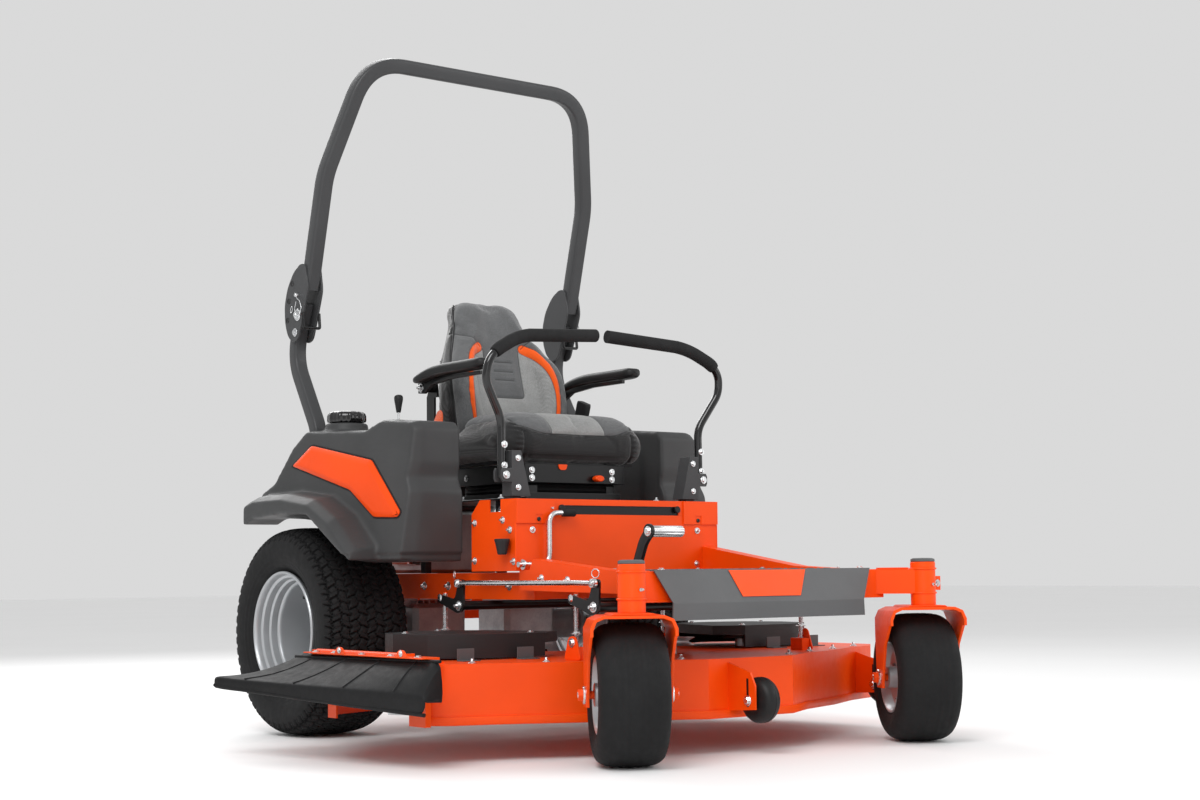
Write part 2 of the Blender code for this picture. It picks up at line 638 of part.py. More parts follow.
# ---------------------------------------------------------------- transaxles
for side, s in SIDES:
    case = block(*span(s, 0.070, 0.250), 0.400, 0.560, 0.215, 0.360, 0.014, 1)
    tube = disc(0.044, "x", (REAR_WHEEL[1], REAR_WHEEL[2]), *span(s, 0.240, 0.372), 20)
    shaft = disc(0.0180, "x", (REAR_WHEEL[1], REAR_WHEEL[2]), *span(s, 0.372, 0.430), 16)
    flange = disc(0.062, "x", (REAR_WHEEL[1], REAR_WHEEL[2]), *span(s, 0.3740, 0.3860), 20)
    pad = block(*span(s, 0.215, 0.265), 0.440, 0.540, 0.350, 0.3746)
    piece(f"transaxle_{side}", "cast_metal", case, [tube, flange, shaft, pad])

# --------------------------------------------------------------- rear wheels
R, W = REAR_WHEEL[2], REAR_TYRE_HALF
tyre_profile = [
    (R, 0.078), (R - 0.012, 0.112), (R - 0.052, W), (REAR_RIM_R + 0.004, 0.106),
    (REAR_RIM_R + 0.004, 0.092), (R - 0.055, 0.114), (R - 0.018, 0.078),
]  # fmt: skip
tyre_profile = tyre_profile + [(r, -x) for r, x in reversed(tyre_profile)]
r0 = REAR_RIM_R
for side, s in SIDES:
    origin = (s * REAR_WHEEL[0], REAR_WHEEL[1], R)
    piece(f"rear_tyre_{side}", "rubber", lathe(tyre_profile, 26), origin=origin, local=True, smooth=50)
    rim = [
        (r0 + 0.012, 0.1130), (r0 + 0.0034, 0.1080), (r0 + 0.0034, 0.088), (r0 - 0.016, 0.060),
        (r0 - 0.016, -0.060), (r0 + 0.0034, -0.088), (r0 + 0.0034, -0.108), (r0 + 0.012, -0.1130),
        (r0 - 0.003, -0.1150), (r0 - 0.024, -0.066), (0.120, -0.1000), (0.0195, -0.1000),
        (0.0195, -0.0890), (0.118, -0.0890), (r0 - 0.024, -0.050), (r0 - 0.024, 0.064),
        (r0 - 0.003, 0.094), (r0 - 0.003, 0.1160), (r0 + 0.012, 0.1170),
    ]  # fmt: skip
    rim = [(r, s * x) for r, x in rim]
    slots = []
    for i in range(5):
        a = 2 * math.pi * i / 5
        slots.append(disc(0.0140, "x", (0.0885 * math.cos(a + 0.11), 0.0885 * math.sin(a + 0.11)), *span(s, -0.13, -0.06), 8))
    piece(f"rear_rim_{side}", "rim_silver", lathe(rim, 26), cut=slots, origin=origin, local=True, smooth=40)

# ------------------------------------------------------------------- casters
R, W = CASTER_R, CASTER_TYRE_HALF
tyre_profile = [
    (R, 0.036), (R - 0.012, 0.070), (R - 0.045, W), (0.080, 0.063),
    (0.080, 0.052), (R - 0.048, 0.068), (R - 0.016, 0.036),
]  # fmt: skip
tyre_profile = tyre_profile + [(r, -x) for r, x in reversed(tyre_profile)]
rim = [
    (0.0875, 0.0728), (0.0795, 0.0645), (0.0795, 0.050), (0.060, 0.026), (0.060, -0.026), (0.0795, -0.050),
    (0.0795, -0.0645), (0.0875, -0.0728), (0.074, -0.0700), (0.074, -0.052), (0.054, -0.026),
    (0.028, -0.030), (0.026, -0.078), (0.0105, -0.078), (0.0105, 0.078), (0.026, 0.078), (0.028, 0.030),
    (0.054, 0.026), (0.074, 0.052), (0.074, 0.0700),
]  # fmt: skip
back = Vector((-math.sin(CASTER_TURN), math.cos(CASTER_TURN), 0))
for side, s in SIDES:
    pivot = Vector((s * CASTER_PIVOT[0], CASTER_PIVOT[1], 0))
    hub = pivot + back * CASTER_TRAIL + Vector((0, 0, R))
    bow = prism(
        [
            (-0.1000, 0.138), (-0.1000, 0.318), (-0.0905, 0.3390), (-0.0700, 0.3475),
            (0.0700, 0.3475), (0.0905, 0.3390), (0.1000, 0.318), (0.1000, 0.138),
            (0.0925, 0.138), (0.0925, 0.314), (0.0850, 0.3330), (0.0680, 0.3402),
            (-0.0680, 0.3402), (-0.0850, 0.3330), (-0.0925, 0.314), (-0.0925, 0.138),
        ], "y", -0.046, 0.114,
    )  # fmt: skip
    # the legs taper down to the axle
    taper = [
        prism([(-0.060, 0.120), (0.050, 0.120), (0.050, 0.160), (0.020, 0.250), (-0.030, 0.300), (-0.060, 0.300)],
              "x", -0.13, 0.13),
        prism([(0.130, 0.120), (0.130, 0.300), (0.116, 0.300), (0.106, 0.160), (0.106, 0.120)], "x", -0.13, 0.13),
    ]  # fmt: skip
    stem = disc(0.0150, "z", (0, 0), 0.344, 0.450, 16)
    collar = disc(0.0240, "z", (0, 0), 0.344, 0.3506, 16)
    axle = disc(0.0095, "x", (CASTER_TRAIL, R), -0.1100, 0.1100, 12)
    heads = [disc(0.0150, "x", (CASTER_TRAIL, R), *pair, 6) for pair in ((-0.1160, -0.099), (0.099, 0.1160))]
    piece(
        f"caster_fork_{side}", "orange_paint", bow, [stem, collar, axle, *heads], taper,
        origin=tuple(pivot), spin=CASTER_TURN, local=True,
    )  # fmt: skip
    piece(f"caster_tyre_{side}", "rubber", lathe(tyre_profile, 20), origin=tuple(hub), spin=CASTER_TURN,
          local=True, smooth=50)  # fmt: skip
    piece(f"caster_rim_{side}", "rim_silver", lathe(rim, 20), origin=tuple(hub), spin=CASTER_TURN,
          local=True, smooth=40)  # fmt: skip

# ---------------------------------------------------------------------- deck
HALF_DECK = [
    (0.140, -0.745), (0.260, -0.670), (0.430, -0.600), (0.580, -0.515), (0.700, -0.470), (0.775, -0.400),
    (0.775, -0.020), (0.700, 0.062), (0.560, 0.112), (0.380, 0.112), (0.240, 0.020), (0.120, -0.060),
]  # fmt: skip
plan = HALF_DECK + [(-x, y) for x, y in reversed(HALF_DECK)]


def inset(points, by):
    """Polygon moved inward by a distance."""
    out = []
    n = len(points)
    area = sum(points[i][0] * points[(i + 1) % n][1] - points[(i + 1) % n][0] * points[i][1] for i in range(n))
    turn = 1 if area > 0 else -1
    for i in range(n):
        a, b, c = (Vector(points[(i + k) % n]) for k in (-1, 0, 1))
        u, v = (b - a).normalized(), (c - b).normalized()
        nu, nv = Vector((-u.y, u.x)) * turn, Vector((-v.y, v.x)) * turn
        m = (nu + nv).normalized()
        out.append(tuple(b + m * by / max(m.dot(nu), 0.3)))
    return out


deck_adds = [
    # chute bracket along the right edge, with the two hinge lugs
    block(-0.800, -0.690, -0.420, 0.000, 0.2300, 0.2360),
    block(-0.8095, -0.772, -0.4200, -0.4120, 0.2340, 0.2585),
    block(-0.8095, -0.772, -0.0080, 0.0000, 0.2340, 0.2585),
    disc(0.0040, "y", CHUTE_HINGE, -0.4150, -0.0040, 8),
    # curved post at the front of the discharge opening
    prism([(-0.775, 0.088), (-0.775, 0.236), (-0.765, 0.2500), (-0.735, 0.2500), (-0.735, 0.228), (-0.752, 0.228),
           (-0.760, 0.220), (-0.760, 0.088)], "y", -0.470, -0.400),
]  # fmt: skip
for s in (-1, 1):
    for y in (-0.530, 0.048):
        deck_adds.append(block(*span(s, 0.360, 0.386), y - 0.022, y + 0.022, 0.2310, 0.2640))
        deck_adds.append(disc(0.0055, "z", (s * 0.3780, y), 0.2620, 0.3950, 10))
# roller brackets: a plate from the deck's edge and a stub axle; ahead is -1 in front of the deck
for (x, y), root_y, ahead in zip(SCALP, (-0.735, -0.480, 0.075), (-1, -1, 1)):
    x0, x1 = x - 0.0380, x - 0.0330
    tip = y + ahead * 0.022
    outline = [(root_y, 0.105), (root_y, 0.225), (y + ahead * 0.006, 0.200), (tip, 0.170), (tip, 0.112)]
    deck_adds.append(prism(outline, "x", x0, x1))
    deck_adds.append(disc(0.0060, "x", (y, ROLLER_Z), x0, x + 0.034, 10))
deck_cuts = [
    prism(inset(plan, DECK_WALL), "z", DECK_LOW - 0.01, DECK_TOP - DECK_WALL),
    block(-0.800, -0.740, -0.3990, -0.060, 0.080, 0.215),
]
for x, y in SPINDLES:
    deck_cuts.append(disc(0.0400, "z", (x, y), 0.20, 0.26, 14))
deck_origin = (0, -0.3, DECK_LOW)
piece("deck_shell", "orange_paint", prism(plan, "z", DECK_LOW, DECK_TOP), deck_adds, deck_cuts, origin=deck_origin)

for side, s in SIDES:
    outline = [
        (0.265, -0.300), (0.340, -0.350), (0.520, -0.345), (0.640, -0.270), (0.665, -0.150),
        (0.620, -0.040), (0.520, 0.010), (0.420, 0.010), (0.335, -0.060),
    ]  # fmt: skip
    outline = both(outline, s)
    piece(
        f"belt_cover_{side}", "charcoal_plastic", prism(outline, "z", 0.2364, 0.2950),
        cut=[prism(inset(outline, 0.006), "z", 0.2300, 0.2900), block(*span(s, 0.20, 0.34), -0.36, -0.04, 0.230, 0.270)],
        origin=deck_origin,
    )  # fmt: skip

for name, (x, y) in zip(("blade_right", "blade_centre", "blade_left"), SPINDLES):
    tilt = Matrix.Rotation(math.radians({"r": 24, "c": 78, "l": -31}[name[6]]), 4, "Z")
    bar = loft([
        [(-BLADE_R, -0.030, 0.1050), (-BLADE_R, 0.030, 0.1050), (-BLADE_R, 0.030, 0.1100), (-BLADE_R, -0.030, 0.1100)],
        [(BLADE_R, -0.030, 0.1050), (BLADE_R, 0.030, 0.1050), (BLADE_R, 0.030, 0.1100), (BLADE_R, -0.030, 0.1100)],
    ])  # fmt: skip
    bmesh.ops.transform(bar, matrix=tilt, verts=bar.verts)
    groove = [(0.030, 0.106), (0.030, 0.220), (0.020, 0.224), (0.020, 0.252), (0.068, 0.254), (0.052, 0.262),
              (0.052, 0.266), (0.068, 0.274), (0.012, 0.276), (0.012, 0.106)]  # fmt: skip
    spin_z = Matrix.Rotation(-math.pi / 2, 4, "Y")
    core = lathe([(r, z) for r, z in groove], 16, spin_z)
    piece(name, "bright_steel", bar, [core], origin=(x, y, 0.0), local=True)

# rubber discharge chute hanging from its hinge barrel
ch = [Vector(p) for p in (
    (-0.8140, -0.600, 0.2480), (-0.8140, 0.030, 0.2480), (-1.0300, 0.100, 0.1780), (-0.8700, -0.620, 0.1740),
)]  # fmt: skip
drop = Vector((0, 0, -0.0060))
sheet = loft([[p for p in ch], [p + drop for p in ch]])
barrel = disc(0.0105, "y", CHUTE_HINGE, -0.4070, -0.0130, 14)
leaf = block(-0.8250, -0.8020, -0.4070, -0.0130, 0.2425, 0.2480)
piece(
    "discharge_chute", "rubber", sheet, [barrel, leaf], [disc(0.0048, "y", CHUTE_HINGE, -0.45, 0.05, 8)],
    origin=(CHUTE_HINGE[0], -0.2, CHUTE_HINGE[1]),
)  # fmt: skip

roller = [
    (0.0068, -0.026), (0.040, -0.026), (SCALP_R - 0.001, -0.010), (SCALP_R - 0.001, 0.010), (0.040, 0.026),
    (0.0068, 0.026),
]  # fmt: skip
for name, (x, y) in zip(("front", "left", "right"), SCALP):
    piece(f"scalp_roller_{name}", "black_plastic", lathe(roller, 18), origin=(x, y, ROLLER_Z), local=True, smooth=40)

# ----------------------------------------------------------------- deck lift
def crank(shaft, s, arms):
    """Plate on a shaft end with two arms."""
    y0, z0 = shaft
    (uy, uz), (ry, rz) = arms
    outline = [
        (y0 - 0.018, z0 - 0.010), (y0 + 0.010, z0 - 0.018), (ry + 0.010, rz - 0.010), (ry + 0.010, rz + 0.010),
        (y0 + 0.020, z0 + 0.016), (uy + 0.010, uz + 0.008), (uy - 0.010, uz + 0.008),
    ]  # fmt: skip
    return prism(outline, "x", *span(s, 0.3880, 0.3935))


FRONT_ARMS = ((-0.632, 0.4185), (-0.530, 0.3820))
REAR_ARMS = ((-0.052, 0.4185), (0.050, 0.3810))
front = [crank(FRONT_SHAFT, s, FRONT_ARMS) for s in (-1, 1)]
pedal = rounded([(-0.281, *FRONT_SHAFT), (-0.281, -0.662, 0.470), (-0.281, -0.700, 0.542)], 0.08, 3)
front.append(sweep(pedal, [(-0.006, -0.013), (0.006, -0.013), (0.006, 0.013), (-0.006, 0.013)]))
front.append(disc(0.0140, "x", (-0.700, 0.542), -0.2870, -0.180, 14))
piece(
    "lift_pedal", "black_paint", disc(0.0120, "x", FRONT_SHAFT, -0.3920, 0.3920, 14), front,
    origin=(0, *FRONT_SHAFT),
)  # fmt: skip
piece(
    "rear_lift_shaft", "black_paint", disc(0.0120, "x", REAR_SHAFT, -0.3920, 0.3920, 14),
    [crank(REAR_SHAFT, s, REAR_ARMS) for s in (-1, 1)], origin=(0, *REAR_SHAFT),
)  # fmt: skip
for side, s in SIDES:
    x = s * 0.4030
    rod = sweep([(x, -0.640, 0.4185), (x, -0.044, 0.4185)], circle(0.0062, 10))
    eyes = [disc(0.0110, "x", (y, 0.4185), *span(s, 0.3955, 0.4105), 12) for y in (-0.632, -0.052)]
    piece(f"drag_link_{side}", "bright_steel", rod, eyes, origin=(x, -0.342, 0.4185))

handle = rounded(
    [(-0.352, -0.252, 0.4660), (-0.252, -0.252, 0.4660), (-0.252, -0.252, 0.6000), (-0.170, -0.252, 0.6000)], 0.022, 4
)
piece(
    "transport_lock_lever", "bright_steel", sweep(handle, circle(0.0070, 10)),
    [disc(0.0095, "x", (-0.252, 0.6000), -0.2100, -0.1680, 10)], origin=(0, -0.252, 0.4660),
)  # fmt: skip
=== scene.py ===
"""Visual model of a zero turn mower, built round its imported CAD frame.

Lengths are metres. Shapes are drawn in the machine's own coordinates, with x = 0 on its
centre plane, the front toward -Y and the floor at z = 0, and moved into the frame by MACHINE.
"""

import json
import math

import bmesh
import bpy
import numpy as np
from mathutils import Matrix, Vector

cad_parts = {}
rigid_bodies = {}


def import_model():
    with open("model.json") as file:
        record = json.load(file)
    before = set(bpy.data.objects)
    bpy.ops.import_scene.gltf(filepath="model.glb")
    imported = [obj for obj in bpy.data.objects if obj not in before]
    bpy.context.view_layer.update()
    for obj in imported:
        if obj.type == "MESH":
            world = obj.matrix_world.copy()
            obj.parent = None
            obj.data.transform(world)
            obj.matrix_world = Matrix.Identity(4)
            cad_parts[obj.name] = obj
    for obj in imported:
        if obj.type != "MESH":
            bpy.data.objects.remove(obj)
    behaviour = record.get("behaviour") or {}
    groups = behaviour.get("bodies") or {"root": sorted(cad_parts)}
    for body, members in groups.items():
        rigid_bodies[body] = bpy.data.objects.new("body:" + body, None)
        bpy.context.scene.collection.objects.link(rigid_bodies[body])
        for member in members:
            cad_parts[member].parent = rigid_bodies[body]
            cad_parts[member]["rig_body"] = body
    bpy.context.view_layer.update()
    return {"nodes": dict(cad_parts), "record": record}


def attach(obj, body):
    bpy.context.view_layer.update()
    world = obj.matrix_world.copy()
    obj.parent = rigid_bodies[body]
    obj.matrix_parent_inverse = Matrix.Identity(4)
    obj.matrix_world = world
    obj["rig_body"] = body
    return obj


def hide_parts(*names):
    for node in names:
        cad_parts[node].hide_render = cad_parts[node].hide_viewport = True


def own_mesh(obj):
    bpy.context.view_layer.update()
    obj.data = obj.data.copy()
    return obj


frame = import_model()

# place of the machine's own origin, from the foot platform's mount, which lies on x = 0
TREAD_Y = -0.520
tread = next(m for m in frame["record"]["mounts"] if m["name"] == "platform_tread")
MACHINE = Vector((tread["pos_m"][0], tread["pos_m"][1] - TREAD_Y, 0.0))
SIDES = (("right", -1), ("left", 1))

# ------------------------------------------------------------------- dimensions
REAR_WHEEL = (0.507, 0.494, 0.288)
CASTER_PIVOT = Vector((0.482, -0.876, 0.0))
CASTER_R, CASTER_TRAIL = 0.165, 0.080
CASTER_TURN = math.radians(-31.5)
ROPS_PIVOT = (0.640, 1.200)
ROPS_X = 0.4715
ARM_PIVOT = (0.355, 0.975)
CHUTE_HINGE = (-0.800, 0.250)
FRONT_SHAFT = (-0.620, 0.361)
REAR_SHAFT = (-0.040, 0.360)


# -------------------------------------------------------------------- materials
class Look:
    """A node material being put together round one Principled shader."""

    def __init__(self, name, rough, metal=0.0, coat=0.0, sheen=0.0, specular=0.5):
        self.mat = bpy.data.materials.new(name)
        self.mat.use_nodes = True
        self.tree = self.mat.node_tree
        self.shader = self.tree.nodes["Principled BSDF"]
        values = {
            "Roughness": rough, "Metallic": metal, "Coat Weight": coat, "Coat Roughness": 0.12,
            "Sheen Weight": sheen, "Sheen Roughness": 0.4, "Specular IOR Level": specular,
        }
        for socket, value in values.items():
            self.shader.inputs[socket].default_value = value
        self.place = self.node("ShaderNodeTexCoord").outputs["Object"]
        self.last_bump = None

    def node(self, kind, **settings):
        made = self.tree.nodes.new(kind)
        for key, value in settings.items():
            setattr(made, key, value)
        return made

    def link(self, a, b):
        self.tree.links.new(a, b)

    def fill(self, socket, value):
        if hasattr(value, "is_output") or isinstance(value, bpy.types.NodeSocket):
            self.link(value, socket)
        else:
            socket.default_value = value

    def noise(self, scale, detail=3.0, rough=0.5, stretch=None):
        at = self.place
        if stretch:
            turn = self.node("ShaderNodeMapping")
            turn.inputs["Scale"].default_value = stretch
            self.link(at, turn.inputs["Vector"])
            at = turn.outputs["Vector"]
        made = self.node("ShaderNodeTexNoise")
        made.inputs["Scale"].default_value = scale
        made.inputs["Detail"].default_value = detail
        made.inputs["Roughness"].default_value = rough
        self.link(at, made.inputs["Vector"])
        return made.outputs["Fac"]

    def cells(self, scale, feature="F1", out="Distance"):
        made = self.node("ShaderNodeTexVoronoi", feature=feature)
        made.inputs["Scale"].default_value = scale
        self.link(self.place, made.inputs["Vector"])
        return made.outputs[out]

    def wave(self, scale, direction, distortion=0.0):
        made = self.node("ShaderNodeTexWave", bands_direction=direction)
        made.inputs["Scale"].default_value = scale
        made.inputs["Distortion"].default_value = distortion
        self.link(self.place, made.inputs["Vector"])
        return made.outputs["Fac"]

    def math(self, operation, a, b=0.0, c=0.0):
        made = self.node("ShaderNodeMath", operation=operation)
        for i, value in enumerate((a, b, c)):
            self.fill(made.inputs[i], value)
        return made.outputs[0]

    def ramp(self, value, low, high, to_low=0.0, to_high=1.0, smooth=False):
        made = self.node("ShaderNodeMapRange")
        if smooth:
            made.interpolation_type = "SMOOTHSTEP"
        self.fill(made.inputs["Value"], value)
        for socket, number in (("From Min", low), ("From Max", high), ("To Min", to_low),
                ("To Max", to_high)):
            made.inputs[socket].default_value = number
        return made.outputs["Result"]

    def mix(self, share, a, b):
        made = self.node("ShaderNodeMix", data_type="RGBA")
        self.fill(made.inputs[0], share)
        for socket, value in ((made.inputs[6], a), (made.inputs[7], b)):
            self.fill(socket, (*value, 1.0) if isinstance(value, tuple) and len(value) == 3 else value)
        return made.outputs[2]

    def colour(self, value):
        self.link(value, self.shader.inputs["Base Color"])

    def rough(self, value, low, high):
        self.link(self.ramp(value, 0.3, 0.7, low, high), self.shader.inputs["Roughness"])

    def bump(self, height, depth, strength=1.0):
        made = self.node("ShaderNodeBump")
        made.inputs["Strength"].default_value = strength
        made.inputs["Distance"].default_value = depth
        self.link(height, made.inputs["Height"])
        if self.last_bump:
            self.link(self.last_bump, made.inputs["Normal"])
        self.last_bump = made.outputs["Normal"]
        self.link(self.last_bump, self.shader.inputs["Normal"])

    def attribute(self, name):
        return self.node("ShaderNodeAttribute", attribute_name=name).outputs["Fac"]

    def part(self, axis):
        if not hasattr(self, "split"):
            self.split = self.node("ShaderNodeSeparateXYZ")
            self.link(self.place, self.split.inputs[0])
        return self.split.outputs[axis]

    def edge(self):
        return self.node("ShaderNodeNewGeometry").outputs["Pointiness"]


def scaled(colour, k):
    return tuple(min(1.0, c * k) for c in colour)


def paint(name, colour, rough, coat, peel=0.00006, metal=0.0):
    """Powder coat: slight orange peel, small cloudy changes of tone, rubbed edges."""
    look = Look(name, rough, metal, coat, specular=0.20)
    cloud = look.noise(5.0, 4.0)
    fine = look.noise(60.0, 3.0)
    tone = look.mix(look.ramp(cloud, 0.35, 0.65), scaled(colour, 0.94), scaled(colour, 1.04))
    rub = look.ramp(look.edge(), 0.54, 0.64, 0.0, 0.25, True)
    look.colour(look.mix(rub, tone, scaled(colour, 1.30)))
    look.rough(fine, rough * 0.86, rough * 1.14)
    look.bump(look.noise(420.0, 2.0), peel)
    return look.mat


def plastic(name, colour, rough, grain=0.00010, size=520.0):
    """Moulded plastic with a fine pebbled grain."""
    look = Look(name, rough, specular=0.30)
    cloud = look.noise(7.0, 5.0)
    scuff = look.noise(30.0, 6.0, 0.65, (1.0, 1.0, 3.5))
    tone = look.mix(look.ramp(cloud, 0.3, 0.7), scaled(colour, 0.88), scaled(colour, 1.10))
    look.colour(look.mix(look.ramp(scuff, 0.60, 0.80, 0.0, 0.25), tone, scaled(colour, 1.5)))
    look.rough(scuff, rough * 0.90, rough * 1.12)
    look.bump(look.cells(size), grain, 0.7)
    look.bump(look.noise(size * 2.2, 2.0), grain * 0.4, 0.6)
    return look.mat


def rubber(name, colour, rough, grain=0.00016):
    look = Look(name, rough, specular=0.22)
    cloud = look.noise(9.0, 6.0, 0.6)
    dust = look.noise(45.0, 5.0, 0.7)
    tone = look.mix(look.ramp(cloud, 0.3, 0.7), scaled(colour, 0.82), scaled(colour, 1.18))
    look.colour(look.mix(look.ramp(dust, 0.58, 0.80, 0.0, 0.30), tone, scaled(colour, 1.9)))
    look.rough(dust, rough * 0.88, min(1.0, rough * 1.12))
    look.bump(look.noise(380.0, 4.0, 0.6), grain, 0.8)
    return look.mat


def steel(name, colour, rough, brush=(1.0, 1.0, 1.0), metal=1.0):
    look = Look(name, rough, metal)
    cloud = look.noise(18.0, 5.0)
    streak = look.noise(160.0, 3.0, 0.6, brush)
    look.colour(look.mix(look.ramp(cloud, 0.3, 0.7), scaled(colour, 0.80), scaled(colour, 1.10)))
    look.rough(streak, rough * 0.75, rough * 1.30)
    look.bump(streak, 0.00004, 0.5)
    return look.mat


def woven(look, pitch, depth):
    """Plain weave: two crossing sets of threads, as a bump and a shade."""
    across = look.math("SINE", look.math("MULTIPLY", look.part("X"), 2 * math.pi / pitch))
    along = look.math("SINE", look.math("MULTIPLY", look.part("Z"), 2 * math.pi / pitch))
    deep = look.math("SINE", look.math("MULTIPLY", look.part("Y"), 2 * math.pi / pitch))
    weave = look.math("MULTIPLY", across, look.math("ADD", along, deep))
    fuzz = look.noise(900.0, 2.0)
    look.bump(look.math("ADD", weave, look.math("MULTIPLY", fuzz, 1.5)), depth, 0.8)
    return weave


ORANGE = (0.90, 0.072, 0.0010)
MATS = {
    "orange": paint("orange_powder_coat", ORANGE, 0.40, 0.06),
    "charcoal": paint("charcoal_powder_coat", (0.052, 0.053, 0.055), 0.42, 0.10, 0.00010),
    "grey": paint("dark_grey_powder_coat", (0.100, 0.102, 0.105), 0.46, 0.08, 0.00012),
    "black": paint("black_powder_coat", (0.006, 0.006, 0.0065), 0.34, 0.25),
    "gloss_black": paint("gloss_black_paint", (0.004, 0.004, 0.0045), 0.14, 0.80, 0.00003),
    "fender": plastic("rotomoulded_charcoal", (0.046, 0.047, 0.048), 0.50),
    "plastic": plastic("moulded_black", (0.009, 0.009, 0.0095), 0.48),
    "dark": plastic("moulded_dark", (0.020, 0.020, 0.021), 0.55),
    "tyre": rubber("tyre_rubber", (0.0105, 0.0105, 0.011), 0.74),
    "chute": rubber("chute_rubber", (0.0075, 0.0075, 0.008), 0.60, 0.00030),
    "grip": rubber("foam_grip", (0.016, 0.016, 0.0165), 0.85, 0.00045),
    "pad": plastic("armrest_vinyl", (0.009, 0.009, 0.0095), 0.46, 0.00016, 420.0),
    "zinc": steel("zinc_plated_steel", (0.72, 0.73, 0.74), 0.26),
    "blade": steel("blade_steel", (0.52, 0.53, 0.54), 0.36, (8.0, 1.0, 1.0)),
    "cast": steel("cast_aluminium", (0.36, 0.365, 0.37), 0.50, metal=0.85),
    "exhaust": steel("heated_steel", (0.26, 0.25, 0.24), 0.46, metal=0.9),
    "rim": paint("silver_wheel_paint", (0.46, 0.475, 0.49), 0.34, 0.20, 0.00005, 0.55),
}


# ----------------------------------------------------------------------- meshes
def rounded(points, radius, steps=6):
    """Path with every inner corner turned into a smooth arc."""
    pts = [Vector(p) for p in points]
    out = [pts[0]]
    for i in range(1, len(pts) - 1):
        before = (pts[i - 1] - pts[i]).normalized()
        after = (pts[i + 1] - pts[i]).normalized()
        angle = before.angle(after)
        r = radius[i - 1] if isinstance(radius, (list, tuple)) else radius
        reach = min(
            r / math.tan(max(angle, 0.01) / 2),
            0.49 * (pts[i - 1] - pts[i]).length,
            0.49 * (pts[i + 1] - pts[i]).length,
        )
        a, b = pts[i] + before * reach, pts[i] + after * reach
        for k in range(steps + 1):
            t = k / steps
            out.append(a.lerp(pts[i], t).lerp(pts[i].lerp(b, t), t))
    out.append(pts[-1])
    return out


def circle(radius, steps=16, squash=1.0):
    return [(radius * math.cos(2 * math.pi * (i + 0.5) / steps),
             squash * radius * math.sin(2 * math.pi * (i + 0.5) / steps)) for i in range(steps)]


def box_section(half_a, half_b, corner, steps=4):
    """Rounded rectangle as a closed list of points."""
    out = []
    for sa, sb, start in ((1, 1, 0), (-1, 1, 90), (-1, -1, 180), (1, -1, 270)):
        for k in range(steps + 1):
            t = math.radians(start + 90 * k / steps)
            out.append((sa * (half_a - corner) + corner * math.cos(t),
                sb * (half_b - corner) + corner * math.sin(t)))
    return out


def loft(bm, rings, capped=True):
    made = [[bm.verts.new(p) for p in ring] for ring in rings]
    n = len(rings[0])
    for a, b in zip(made, made[1:]):
        for i in range(n):
            j = (i + 1) % n
            bm.faces.new((a[i], a[j], b[j], b[i]))
    if capped:
        bm.faces.new(list(reversed(made[0])))
        bm.faces.new(made[-1])


def tube(bm, path, section, scale=None):
    """Section carried along a path without twisting, closed at both ends."""
    path = [Vector(p) for p in path]
    rings, side = [], None
    for i, p in enumerate(path):
        ahead = (path[min(i + 1, len(path) - 1)] - path[max(i - 1, 0)]).normalized()
        if side is None:
            side = Vector((1, 0, 0)) if abs(ahead.x) < 0.8 else Vector((0, 1, 0))
        side = (side - ahead * side.dot(ahead)).normalized()
        up = ahead.cross(side)
        k = scale(i / (len(path) - 1)) if scale else 1.0
        rings.append([p + side * a * k + up * b * k for a, b in section])
    loft(bm, rings)


def turn_to(direction, at=(0, 0, 0)):
    """Matrix whose local z points along a direction."""
    d = Vector(direction).normalized()
    return Matrix.Translation(Vector(at)) @ d.to_track_quat("Z", "Y").to_matrix().to_4x4()


def spin(bm, profile, steps, matrix, closed=True):
    """Profile of (radius, height) turned about a matrix's z axis."""
    rings = []
    for i in range(steps):
        a = 2 * math.pi * i / steps
        rings.append([bm.verts.new(matrix @ Vector((r * math.cos(a), r * math.sin(a), z)))
            for r, z in profile])
    n = len(profile)
    for i in range(steps):
        here, there = rings[i], rings[(i + 1) % steps]
        for k in range(n if closed else n - 1):
            m = (k + 1) % n
            bm.faces.new((here[k], here[m], there[m], there[k]))
    if not closed:
        for k in (0, n - 1):
            if profile[k][0] > 1e-6:
                bm.faces.new([ring[k] for ring in rings])


def plate(bm, outline, matrix, low, high):
    """Flat outline in a matrix's xy plane, as thick as low to high."""
    rings = [[bm.verts.new(matrix @ Vector((a, b, z))) for a, b in outline] for z in (low, high)]
    n = len(outline)
    for i in range(n):
        j = (i + 1) % n
        bm.faces.new((rings[0][i], rings[0][j], rings[1][j], rings[1][i]))
    bm.faces.new(rings[0])
    bm.faces.new(rings[1])


def slab(bm, x, y, z):
    """Box between two x, two y and two z values."""
    plate(bm, [(x[0], y[0]), (x[1], y[0]), (x[1], y[1]), (x[0], y[1])], Matrix.Identity(4), z[0], z[1])


def bolt(bm, at, direction, r=0.007, high=0.005, washer=True):
    """Flanged hex head on its washer, with a chamfered crown."""
    m = turn_to(direction, at)
    if washer:
        spin(bm, [(0.0, 0.0), (1.55 * r, 0.0), (1.55 * r, 0.22 * high), (1.45 * r, 0.34 * high),
            (0.0, 0.34 * high)],
             20, m, False)
    rings = []
    for z, k in ((0.30 * high, 1.0), (0.85 * high, 1.0), (high, 0.86)):
        rings.append([m @ Vector((k * r * math.cos(math.radians(60 * i + 10)),
            k * r * math.sin(math.radians(60 * i + 10)), z))
                      for i in range(6)])
    loft(bm, rings)


